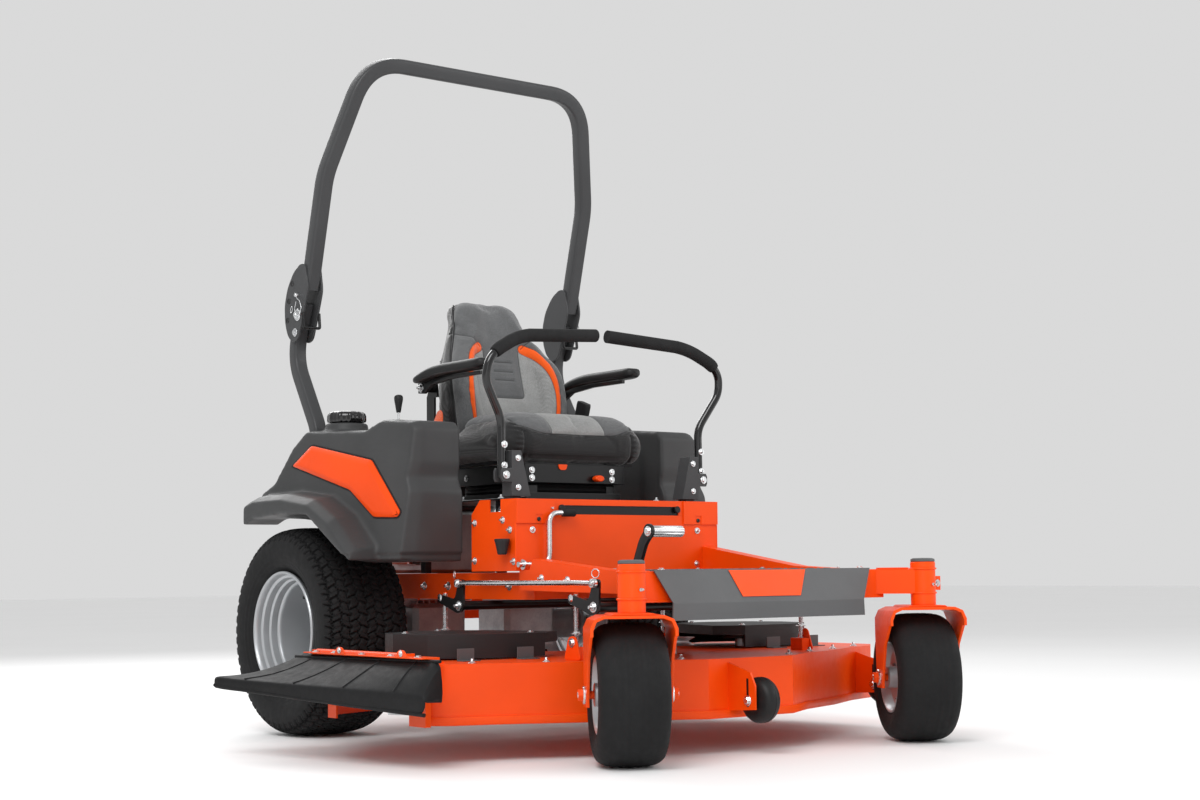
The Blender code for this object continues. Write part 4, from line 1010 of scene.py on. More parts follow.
def backrest():
    profile, _ = spline(BACK_RINGS, 40)
    bm = bmesh.new()
    rings = []
    for z, w, mid, wing, rear in profile:
        ring = []
        for x, y in ((-1.0, wing + 0.034), (-0.93, wing + 0.006), (-0.80, wing + 0.002),
                (-0.58, mid - 0.010), (-0.30, mid),
                     (0.0, mid + 0.002), (0.30, mid), (0.58, mid - 0.010), (0.80, wing + 0.002), (0.93,
                         wing + 0.006),
                     (1.0, wing + 0.034), (0.98, rear - 0.030), (0.84, rear - 0.006), (0.5, rear), (-0.5,
                         rear),
                     (-0.84, rear - 0.006), (-0.98, rear - 0.030)):
            ring.append((x * w, y, z))
        rings.append(ring)
    loft(bm, rings)
    obj = finish_mesh(bm, "seat_backrest_cover", "seat", "seat", ["seat_backrest"], 180)
    inflate(obj, 0.0055, 0.009)
    fine = obj.modifiers.new("fine", "SUBSURF")
    fine.levels = fine.render_levels = 1
    applied(obj)
    co, no = coords(obj), normals(obj)
    x, z = np.abs(co[:, 0]), co[:, 2]
    # stripe: a crescent that starts broad by the head and thins toward the cushion
    middle = ease_line([(0.078, 1.104), (0.112, 1.083), (0.138, 1.045), (0.151, 0.990), (0.152, 0.930),
        (0.143, 0.875),
                        (0.132, 0.835)])
    wide = np.interp(z, [0.84, 0.93, 1.02, 1.09, 1.11], [0.0070, 0.0085, 0.0105, 0.0150, 0.0130])
    stripe = wide - near_polyline(x, z, middle)
    centre_x = np.interp(z, [p[1] for p in reversed(middle)], [p[0] for p in reversed(middle)])
    inside = (x < centre_x) & (z < 1.104)
    # plain middle panel with rounded lower corners
    qx, qz = x - 0.050, 0.966 - z
    panel = np.where((qx > 0) & (qz > 0), np.hypot(np.maximum(qx, 0), np.maximum(qz, 0)),
        np.maximum(qx, qz)) - 0.012
    top_edge = (1.103 - z) - 0.20 * (x - 0.062)
    light = np.where(inside, np.minimum(np.minimum(panel, centre_x - x), top_edge), -0.01)
    front = no[:, 1] < 0.15
    light = np.where(front, light, -0.01)
    stripe = np.where(front, stripe, -0.01)
    # sides and back are vinyl, split from the cloth by the outer seam
    halfw = np.interp(z, [r[0] for r in BACK_RINGS], [r[1] for r in BACK_RINGS])
    mid = np.interp(z, [r[0] for r in BACK_RINGS], [r[3] for r in BACK_RINGS])
    side = np.minimum(co[:, 1] - (mid + 0.050), x - 0.62 * halfw)
    side = np.where(no[:, 1] > 0.35, 0.01, side)
    seams = [np.abs(side), np.abs(stripe), np.abs(np.where(z < 1.10, panel, 1.0))]
    seams.append(near_polyline(x, z, ease_line([(0.072, 1.104), (0.100, 1.128), (0.150, 1.150)], 20)))
    seams = np.min(np.stack(seams), axis=0)
    stitches = np.full(len(x), 1.0)
    for at in (1.060, 1.032, 1.006):
        stitches = np.minimum(stitches, np.where(x < 0.036, np.abs(z - at), 1.0))
    stitches = np.where(front, stitches, 1.0)
    seams = np.where(front | (seams == np.abs(side)), seams, 1.0)
    groove = -0.0032 * np.exp(-((seams / 0.0042) ** 2)) - 0.0030 * np.exp(-((stitches / 0.0040) ** 2))
    puff = 0.0035 * smoothstep(np.minimum(seams, 0.03), 0.0, 0.03)
    set_coords(obj, co + no * (groove + puff * front)[:, None])
    store(obj, "light", light)
    store(obj, "stripe", stripe)
    store(obj, "vinyl", side)
    store(obj, "seam", np.minimum(seams, stitches))
    obj.data.shade_smooth()

    # piping cord along the outer seam
    bm = bmesh.new()
    for s in (-1, 1):
        path = []
        for zz in np.linspace(0.850, 1.236, 34):
            w = np.interp(zz, [r[0] for r in BACK_RINGS], [r[1] for r in BACK_RINGS])
            y = np.interp(zz, [r[0] for r in BACK_RINGS], [r[3] for r in BACK_RINGS])
            path.append((s * (w + 0.0015), y + 0.050, zz))
        tube(bm, path, circle(0.0026, 8))
    finish_mesh(bm, "seat_backrest_piping", "piping", "seat", (), 60)


def cushion():
    """Crowned seat cushion: cloth on top, vinyl apron round the front and sides."""
    rings = []
    for z, inset, front, rear in ((0.7535, 0.026, -0.046, 0.336), (0.7620, 0.010, -0.057, 0.344),
            (0.7800, 0.004, -0.061, 0.348),
                                  (0.8050, 0.003, -0.061, 0.348), (0.8240, 0.010, -0.056, 0.343), (0.8300,
                                      0.016, -0.052, 0.232),
                                  (0.8460, 0.022, -0.044, 0.222), (0.8620, 0.036, -0.024, 0.218), (0.8730,
                                      0.060, 0.004, 0.210),
                                  (0.8780, 0.090, 0.040, 0.190)):
        w, c = 0.252 - inset, 0.058
        ring = []
        for cx, cy, start in ((w - c, front + c, -90), (w - c, rear - c, 0), (-w + c, rear - c, 90),
                (-w + c, front + c, 180)):
            for k in range(7):
                a = math.radians(start + 15 * k)
                ring.append((cx + c * math.cos(a), cy + c * math.sin(a), z))
        rings.append(ring)
    bm = bmesh.new()
    loft(bm, rings)
    obj = finish_mesh(bm, "seat_cushion_cover", "seat", "seat", ["seat_cushion"], 180)
    inflate(obj, 0.0055, 0.008)
    fine = obj.modifiers.new("fine", "SUBSURF")
    fine.levels = fine.render_levels = 1
    applied(obj)
    co, no = coords(obj), normals(obj)
    x, y, z = np.abs(co[:, 0]), co[:, 1], co[:, 2]
    # the cloth's edge runs along the front seam and back along the bolsters
    bolster = 0.196 + 0.10 * (y + 0.06) - np.abs(x)
    top = np.minimum(z - 0.8250 - 0.030 * smoothstep(x, 0.10, 0.24), bolster)
    vinyl_at = -top
    light = np.where(z > 0.80, 0.092 - x, -0.01)
    corner = np.where(z < 0.83, np.abs(x - 0.186), 1.0)
    corner = np.where(y < 0.0, corner, 1.0)
    seams = np.minimum(np.abs(top), np.where(top > 0, np.abs(0.092 - x), 1.0))
    seams = np.minimum(seams, corner)
    groove = -0.0036 * np.exp(-((seams / 0.0045) ** 2))
    puff = 0.0030 * smoothstep(np.minimum(seams, 0.03), 0.0, 0.03)
    # gathers beside the corner seams
    fade = np.exp(-((x - 0.200) / 0.012) ** 2) * (y < 0.02)
    ripple = 0.0012 * np.sin(z * 2 * math.pi / 0.014 + 2.0 * np.sin(x * 40)) * fade
    set_coords(obj, co + no * (groove + puff + ripple)[:, None])
    store(obj, "light", light)
    store(obj, "stripe", np.full(len(x), -0.01))
    store(obj, "vinyl", vinyl_at)
    store(obj, "seam", seams)
    obj.data.shade_smooth()


backrest()
cushion()

for side, s in SIDES:
    body = f"armrest_{side}"
    # moulded pad, dropped at its rear end
    path = spline([(0.368, 0.9980), (0.345, 0.9990), (0.290, 1.0110), (0.230, 1.0170), (0.130, 1.0180),
        (0.060, 1.0185),
                   (0.020, 1.0200), (0.014, 1.0200)], 46)[0]
    bm = bmesh.new()
    rings = []
    for i, (y, z) in enumerate(path):
        t = i / (len(path) - 1)
        end = math.sqrt(max(0.0, 1 - (2 * t - 1) ** 16)) * 0.92 + 0.08
        wide, high = 0.0265 * end, (0.0150 - 0.0035 * math.exp(-((t - 0.03) / 0.12) ** 2)) * end
        rings.append([(s * 0.262 + a, y, z + b - 0.001) for a, b in box_section(wide, high,
            min(wide, high) * 0.86, 6)])
    loft(bm, rings)
    pad = finish_mesh(bm, f"armrest_cushion_{side}", "pad", body, [f"armrest_pad_{side}"], 60)
    # pivot bolt with its big washer and lock nut
    bm = bmesh.new()
    axis = Vector((s, 0, 0))
    at = Vector((s * 0.2565, *ARM_PIVOT))
    bolt(bm, at, axis, 0.0085, 0.0075)
    stud(bm, at + axis * 0.006, axis, 0.0048, 0.008)
    finish_mesh(bm, f"armrest_bolt_{side}", "zinc", body, (), 30)

# belt: short orange webbing on the right, buckle on its stalk on the left
bm = bmesh.new()
path = [Vector(p) for p in ((-0.222, 0.330, 0.770), (-0.226, 0.322, 0.820), (-0.226, 0.316, 0.862),
    (-0.222, 0.318, 0.885),
                            (-0.216, 0.332, 0.892), (-0.212, 0.350, 0.888))]
tube(bm, rounded(path, 0.02, 4), [(-0.0014, -0.022), (0.0014, -0.022), (0.0014, 0.022), (-0.0014, 0.022)])
finish_mesh(bm, "seat_belt_strap", "webbing", "seat", (), 40)
bm = bmesh.new()
tube(bm, rounded([(0.222, 0.290, 0.772), (0.224, 0.262, 0.840), (0.226, 0.240, 0.885)], 0.05, 5),
    circle(0.0075, 12))
rings = []
for t, wide in ((0.0, 0.020), (0.006, 0.0235), (0.020, 0.0245), (0.062, 0.0250), (0.070, 0.0225)):
    base = Vector((0.227, 0.240, 0.878)) + Vector((0, -0.32, 0.95)).normalized() * t
    rings.append([base + Vector((a, 0, 0)) + Vector((0, 0.95, 0.32)) * b
        for a, b in box_section(0.0105, wide, 0.006, 4)])
loft(bm, rings)
finish_mesh(bm, "seat_belt_buckle", "plastic", "seat", (), 40, 0.001)


# --------------------------------------------------------- levers and lap bars
def foam(t):
    """Grip radius along its length: a rolled rim at each end."""
    end = min(t, 1 - t)
    return 0.86 + 0.14 * min(1.0, end / 0.03) ** 0.5


for side, s in SIDES:
    body = f"lap_{side}"
    corners = [(0.340, -0.165, 0.6915), (0.340, -0.163, 0.845), (0.404, -0.182, 0.948),
        (0.398, -0.190, 0.996),
               (0.372, -0.192, 1.027), (0.288, -0.179, 1.071), (0.036, -0.158, 1.0882)]
    corners = [(s * x, y, z) for x, y, z in corners]
    line = rounded(corners, [0.09, 0.12, 0.09, 0.16, 0.42], 16)
    bm = bmesh.new()
    tube(bm, line, circle(0.0112, 24))
    finish_mesh(bm, f"lap_bar_{side}_tube", "gloss_black", body, [f"lap_bar_{side}"], 60)
    grip = [p for p in line if p.z > 1.018 and abs(p.x) < 0.385]
    ends = (Vector((s * 0.3795, -0.1915, 1.0185)), Vector((s * 0.034, -0.1580, 1.0884)))
    grip = [ends[0], *(p for p in grip if abs(p.x) < 0.372), ends[1]]
    fine, _ = spline([tuple(p) for p in grip[::2] + [grip[-1]]], 90)
    bm = bmesh.new()
    tube(bm, [Vector(p) for p in fine], circle(0.0178, 24), foam)
    finish_mesh(bm, f"lap_bar_{side}_grip", "grip", body, (), 50)
    # clamp bolts at the foot of the tube
    bm = bmesh.new()
    for z in (0.7250, 0.7800):
        at = Vector((s * 0.340, -0.1765, z))
        bolt(bm, at, (0, -1, 0), 0.0062, 0.0060)
        stud(bm, at + Vector((0, -0.005, 0)), (0, -1, 0), 0.0036, 0.0040)
    finish_mesh(bm, f"lap_bar_{side}_bolts", "zinc", body, (), 30)

    lever = f"lever_{side}"
    bm = bmesh.new()
    for x, y, z, way in ((0.340, -0.1852, 0.7000, -1), (0.3370, -0.155, 0.600, 0)):
        d = Vector((0, -1, 0)) if way else Vector((s, 0, 0))
        bolt(bm, Vector((s * x, y, z)), d, 0.0070, 0.0060)
    for z in (0.668, 0.745):
        bolt(bm, Vector((s * 0.302, -0.1852, z)), (0, -1, 0), 0.0055, 0.0050)
    finish_mesh(bm, f"steering_lever_{side}_bolts", "zinc", lever, (), 30)


# -------------------------------------------------------------- shared hardware
def bolts(name, body, spots, mat="zinc", threads=False):
    """Row of hex bolts; every spot is a place, a direction and a head radius."""
    bm = bmesh.new()
    for at, way, r in spots:
        bolt(bm, Vector(at), Vector(way), r, r * 0.75)
        if threads:
            stud(bm, Vector(at) + Vector(way).normalized() * r * 0.6, way, r * 0.58, r * 1.1)
    return finish_mesh(bm, name, mat, body, (), 30)


def ring_pin(bm, at, direction, r=0.010, wire=0.0014):
    """Split ring of round wire, lying across a direction."""
    m = turn_to(direction, at)
    path = [m @ Vector((r * math.cos(a), r * math.sin(a), 0))
        for a in np.linspace(0.2, 2 * math.pi + 0.1, 30)]
    tube(bm, path, circle(wire, 8))


def side_plate(bm, outline, s, a, b):
    """Outline in y and z, cut from sheet lying between two x values."""
    flat = Matrix(((0, 0, s, 0), (1, 0, 0, 0), (0, 1, 0, 0), (0, 0, 0, 1)))
    plate(bm, outline, flat, a, b)


def softened(outline, radius, steps=5):
    """Closed outline with its corners rounded off."""
    pts = [Vector((*p, 0.0)) for p in outline]
    out = []
    for i, p in enumerate(pts):
        before, after = pts[i - 1], pts[(i + 1) % len(pts)]
        reach = min(radius, 0.45 * (before - p).length, 0.45 * (after - p).length)
        a, b = p + (before - p).normalized() * reach, p + (after - p).normalized() * reach
        for k in range(steps + 1):
            t = k / steps
            q = a.lerp(p, t).lerp(p.lerp(b, t), t)
            out.append((q.x, q.y))
    return out


# ------------------------------------------------------------------- roll bar
def roll_bar():
    for side, s in SIDES:
        path = rounded(
            [(s * 0.336, 0.572, 0.4520), (s * 0.336, 0.572, 0.650), (s * ROPS_X, 0.566, 0.800),
             (s * ROPS_X, 0.566, 0.862), (s * ROPS_X, 0.704, 1.080), (s * ROPS_X, 0.645, 1.236)],
            [0.06, 0.06, 0.16, 0.14], 12,
        )
        bm = bmesh.new()
        tube(bm, path, box_section(0.020, 0.020, 0.0085, 5))
        slab(bm, sorted((s * 0.285, s * 0.360)), (0.535, 0.610), (0.4454, 0.4535))
        finish_mesh(bm, f"rops_post_{side}_tube", "charcoal", "chassis",
            [f"rops_post_{side}"], 40)
        spots = [((s * x, y, 0.4535), (0, 0, 1), 0.0085) for x, y in ((0.297, 0.546), (0.297, 0.599))]
        bolts(f"rops_foot_bolts_{side}", "chassis", spots)

    left_leg = [(ROPS_X, 0.6185, 1.274), (ROPS_X, 0.532, 1.600), (0.385, 0.436, 1.9295)]
    path = rounded([*left_leg, *((-x, y, z) for x, y, z in reversed(left_leg))], [0.30, 0.15, 0.15, 0.30], 14)
    bm = bmesh.new()
    tube(bm, path, box_section(0.0218, 0.0218, 0.0095, 5))
    finish_mesh(bm, "rops_hoop_tube", "charcoal", "rops_upper", ["rops_hoop"], 40)
    outline = softened(
        [(0.600, 1.345), (0.628, 1.350), (0.668, 1.330), (0.705, 1.285), (0.722, 1.235), (0.718, 1.180),
         (0.700, 1.140), (0.668, 1.120), (0.640, 1.130), (0.615, 1.190), (0.585, 1.270)], 0.018)
    for side, s in SIDES:
        bm = bmesh.new()
        for a in (0.4445, 0.4925):
            side_plate(bm, outline, s, a, a + 0.0060)
        finish_mesh(bm, f"rops_hinge_plates_{side}", "charcoal", "rops_upper", (), 40,
            0.0012)
        # latch holes: a dark bushing ring round each, with a black disc in it painted as the shade inside the
        # hole
        bm = bmesh.new()
        for y, z in ((0.676, 1.296), (0.695, 1.246), (0.702, 1.190)):
            spin(bm, [(0.0060, 0.0), (0.0085, 0.0), (0.0080, 0.0012), (0.0060, 0.0008)], 20,
                 turn_to((s, 0, 0), (s * 0.4986, y, z)))
            spin(bm, [(0.0, 0.0), (0.0066, 0.0), (0.0066, 0.0004), (0.0, 0.0004)], 16,
                 turn_to((s, 0, 0), (s * 0.4986, y, z)), False)
        finish_mesh(bm, f"rops_latch_bushes_hole_shade_{side}", "black", "rops_upper", (), 40)
        bm = bmesh.new()
        for out, way in ((0.4990, s), (0.4440, -s)):
            at = Vector((s * out, *ROPS_PIVOT))
            bolt(bm, at, (way, 0, 0), 0.0115, 0.0100)
            stud(bm, at + Vector((way * 0.009, 0, 0)), (way, 0, 0), 0.0062, 0.004)
        bolt(bm, Vector((s * 0.4990, 0.655, 1.150)), (s, 0, 0), 0.0080, 0.0070)
        finish_mesh(bm, f"rops_pivot_bolts_{side}", "zinc", "rops_upper", (), 30)
        # lynch pin: a headed pin with its wire loop hanging below
        bm = bmesh.new()
        at = Vector((s * 0.4992, 0.640, 1.258))
        spin(bm, [(0.0, 0.0), (0.0058, 0.0), (0.0058, 0.009), (0.0046, 0.0105), (0.0, 0.0105)], 18,
            turn_to((s, 0, 0), at), False)
        drop = [at + Vector((s * 0.006, 0.0, 0.0)), at + Vector((s * 0.008, -0.010, -0.012))]
        for y, z in ((-0.026, -0.020), (-0.036, -0.040), (-0.028, -0.060), (-0.006, -0.062),
                (0.003, -0.042), (-0.006, -0.020)):
            drop.append(at + Vector((s * 0.009, y, z)))
        tube(bm, rounded(drop, 0.006, 3), circle(0.0013, 8))
        ring_pin(bm, at + Vector((s * 0.004, 0.030, -0.040)), (s, 0.2, 0.1), 0.009)
        finish_mesh(bm, f"rops_lynch_pin_{side}", "zinc", "rops_upper", (), 40)
        # clamp that holds the lower leg between the plates
        bm = bmesh.new()
        tube(bm, rounded([(s * 0.4445, 0.612, 1.204), (s * 0.4445, 0.607, 1.160), (s * 0.4985, 0.607, 1.160),
                          (s * 0.4985, 0.612, 1.204)], 0.006, 4), circle(0.0045, 12))
        finish_mesh(bm, f"rops_clamp_{side}", "black", "rops_upper", (), 40)


roll_bar()


# ---------------------------------------------------------------------- riser
def riser():
    refine("riser_box", "orange", 0.0010, 2, whole=False)
    face = -0.2330
    spots = [((x, face, z), (0, -1, 0), 0.0058) for x, z in
             ((-0.292, 0.556), (0.272, 0.556), (0.270, 0.465), (-0.232, 0.613), (-0.200, 0.466))]
    spots += [((-0.344, y, z), (-1, 0, 0), 0.0062) for y, z in
              ((-0.044, 0.577), (-0.173, 0.582), (-0.205, 0.556), (-0.044, 0.477), (-0.222, 0.474))]
    spots += [((0.344, y, z), (1, 0, 0), 0.0062) for y, z in ((-0.044, 0.577), (-0.173, 0.582),
        (-0.205, 0.474))]
    bolts("riser_bolts", "chassis", spots, threads=True)
    bm = bmesh.new()
    for x in (-0.2735, 0.2735):
        bolt(bm, Vector((x, face - 0.0006, 0.584)), (0, -1, 0), 0.0060, 0.0050)
    finish_mesh(bm, "riser_notch_nuts", "black", "chassis", (), 30)
    # black sheets painted as the shade in the two front notches and behind the top slit, where the box is
    # open
    bm = bmesh.new()
    for s in (-1, 1):
        slab(bm, sorted((s * 0.2624, s * 0.2846)), (face - 0.0008, face - 0.0001), (0.5725, 0.5965))
    slab(bm, (-0.2045, 0.2045), (-0.2290, -0.2275), (0.5975, 0.6205))
    finish_mesh(bm, "riser_recess_shade", "black", "chassis", (), 40)
    # hinge blocks at the ends of the top channel
    bm = bmesh.new()
    for s in (-1, 1):
        at = Vector((s * 0.1985, -0.2345, 0.6130))
        spin(bm, [(0.0, 0.0), (0.0095, 0.0), (0.0095, 0.005), (0.0080, 0.0065), (0.0, 0.0065)], 20,
             turn_to((0, -1, 0), at + Vector((0, 0.0010, 0))), False)
    finish_mesh(bm, "riser_channel_knobs", "plastic", "chassis", (), 40)
    # ribbed taper plug hung on the side
    bm = bmesh.new()
    rings = []
    for z, k in ((0.4920, 0.52), (0.4950, 0.62), (0.5000, 0.66), (0.5230, 0.90), (0.5290, 1.0),
            (0.5320, 0.98), (0.5330, 0.88)):
        ring = []
        for i in range(40):
            a = 2 * math.pi * i / 40
            r = 0.0190 * k * (1.0 if z > 0.522 or i % 4 < 2 else 0.92)
            ring.append((-0.3640 + 0.95 * r * math.cos(a), -0.1980 + 1.3 * r * math.sin(a), z))
        rings.append(ring)
    loft(bm, rings)
    finish_mesh(bm, "riser_plug", "dark", "chassis", (), 35)
    # weld beads up the riser's front corners
    bm = bmesh.new()
    tube(bm, [(-0.3445, -0.232, z) for z in (0.452, 0.572)], circle(0.0024, 8))
    tube(bm, [(0.3445, -0.232, z) for z in (0.452, 0.572)], circle(0.0024, 8))
    finish_mesh(bm, "riser_weld_beads", "orange", "chassis", (), 60)


riser()


# --------------------------------------------------- transport lever and pedal
def hand_controls():
    path = rounded([(-0.352, -0.252, 0.4660), (-0.252, -0.252, 0.4660), (-0.252, -0.252, 0.6000),
                    (-0.170, -0.252, 0.6000)], 0.030, 10)
    bm = bmesh.new()
    tube(bm, path, circle(0.0072, 20))
    finish_mesh(bm, "transport_lever_rod", "zinc", "lock", ["transport_lock_lever"], 50)
    bm = bmesh.new()
    profile = [(0.0, 0.0), (0.0080, 0.0), (0.0098, 0.0020), (0.0098, 0.040), (0.0080, 0.0425), (0.0, 0.0425)]
    spin(bm, profile, 24, turn_to((1, 0, 0), (-0.2105, -0.252, 0.6000)), False)
    finish_mesh(bm, "transport_lever_grip", "grip", "lock", (), 50)
    bm = bmesh.new()
    spin(bm, [(0.0075, 0.0), (0.0135, 0.0), (0.0135, 0.003), (0.0075, 0.003)], 24,
        turn_to((1, 0, 0), (-0.3380, -0.252, 0.466)))
    spin(bm, [(0.0075, 0.0), (0.0120, 0.0), (0.0120, 0.003), (0.0075, 0.003)], 24,
        turn_to((1, 0, 0), (-0.2880, -0.252, 0.466)))
    finish_mesh(bm, "transport_lever_collars", "zinc", "lock", (), 40)

    # pedal, its shaft and the two cranks of the front lift
    bm = bmesh.new()
    spin(bm, [(0.0, -0.392), (0.0110, -0.392), (0.0120, -0.390), (0.0120, 0.390), (0.0110, 0.392),
        (0.0, 0.392)], 28,
         turn_to((1, 0, 0), (0, *FRONT_SHAFT)), False)
    arm = rounded([(-0.281, *FRONT_SHAFT), (-0.281, -0.646, 0.452), (-0.281, -0.676, 0.518),
        (-0.281, -0.700, 0.542)], 0.07, 12)
    tube(bm, arm, box_section(0.0058, 0.0135, 0.0020, 2))
    spin(bm, [(0.0, 0.0), (0.0180, 0.0), (0.0180, 0.0066), (0.0, 0.0066)], 28,
        turn_to((1, 0, 0), (-0.2872, -0.700, 0.542)), False)
    cranks(bm, FRONT_SHAFT, ((-0.632, 0.4185), (-0.530, 0.3820)))
    finish_mesh(bm, "lift_pedal_arm", "black", "front_lift", ["lift_pedal"], 40)
    bm = bmesh.new()
    ridged = []
    for i in range(48):
        a = 2 * math.pi * i / 48
        r = 0.0138 if i % 4 < 2 else 0.0124
        ridged.append((r * math.cos(a), r * math.sin(a)))
    m = turn_to((1, 0, 0), (0, -0.700, 0.542))
    loft(bm, [[m @ Vector((k * a, k * b, x)) for a, b in ridged]
              for x, k in ((-0.2790, 0.90), (-0.2770, 1.0), (-0.1830, 1.0), (-0.1805, 0.86))])
    bolt(bm, Vector((-0.2872, -0.700, 0.542)), (-1, 0, 0), 0.0080, 0.0060)
    finish_mesh(bm, "lift_pedal_peg", "zinc", "front_lift", (), 30)
    bm = bmesh.new()
    spin(bm, [(0.0, -0.392), (0.0110, -0.392), (0.0120, -0.390), (0.0120, 0.390), (0.0110, 0.392),
        (0.0, 0.392)], 28,
         turn_to((1, 0, 0), (0, *REAR_SHAFT)), False)
    cranks(bm, REAR_SHAFT, ((-0.052, 0.4185), (0.050, 0.3810)))
    finish_mesh(bm, "rear_lift_shaft_arms", "black", "rear_lift", ["rear_lift_shaft"], 40)
    for body, shaft, arms in (("front_lift", FRONT_SHAFT, (-0.530, 0.3820)),
            ("rear_lift", REAR_SHAFT, (0.050, 0.3810))):
        bolts(f"{body}_bolts", body, [((s * 0.3936, *shaft), (s, 0, 0), 0.0085) for s in (-1, 1)],
            threads=True)
        # flat-headed pins, so that the drag link passes outside them
        bm = bmesh.new()
        for s in (-1, 1):
            spin(bm, [(0.0, 0.0), (0.0092, 0.0), (0.0092, 0.0008), (0.0074, 0.0018), (0.0, 0.0018)], 28,
                 turn_to((s, 0, 0), (s * 0.3936, *arms)), False)
        finish_mesh(bm, f"{body}_pins", "zinc", body, (), 40)

    for side, s in SIDES:
        x = s * 0.4030
        bm = bmesh.new()
        tube(bm, rounded([(x, -0.630, 0.4185), (x, -0.560, 0.4200), (x, -0.300, 0.4195), (x, -0.110, 0.4200),
                          (x, -0.054, 0.4185)], 0.2, 6), circle(0.0064, 18))
        for y in (-0.632, -0.052):
            spin(bm, [(0.0058, -0.0068), (0.0098, -0.0068), (0.0112, -0.005), (0.0112, 0.005),
                (0.0098, 0.0068), (0.0058, 0.0068)],
                 26, turn_to((1, 0, 0), (x, y, 0.4185)))
            spin(bm, [(0.0, 0.0), (0.0066, 0.0), (0.0066, 0.0020), (0.0050, 0.0036), (0.0, 0.0036)], 20,
                 turn_to((s, 0, 0), (x + s * 0.0066, y, 0.4185)), False)
        ring_pin(bm, Vector((x + s * 0.004, -0.646, 0.4420)), (s, -0.4, 0.0), 0.0105, 0.0012)
        ring_pin(bm, Vector((x + s * 0.004, -0.040, 0.4420)), (s, 0.4, 0.0), 0.0095, 0.0012)
        finish_mesh(bm, f"drag_link_{side}_rod", "zinc", f"drag_{side}",
            [f"drag_link_{side}"], 50)


def cranks(bm, shaft, arms):
    y0, z0 = shaft
    (uy, uz), (ry, rz) = arms
    outline = softened(
        [(y0 - 0.020, z0 - 0.010), (y0 + 0.002, z0 - 0.022), (ry + 0.012, rz - 0.011),
            (ry + 0.012, rz + 0.010),
         (y0 + 0.020, z0 + 0.016), (uy + 0.012, uz + 0.010), (uy - 0.011, uz + 0.010)], 0.012)
    for s in (-1, 1):
        side_plate(bm, outline, s, 0.3878, 0.3936)


hand_controls()


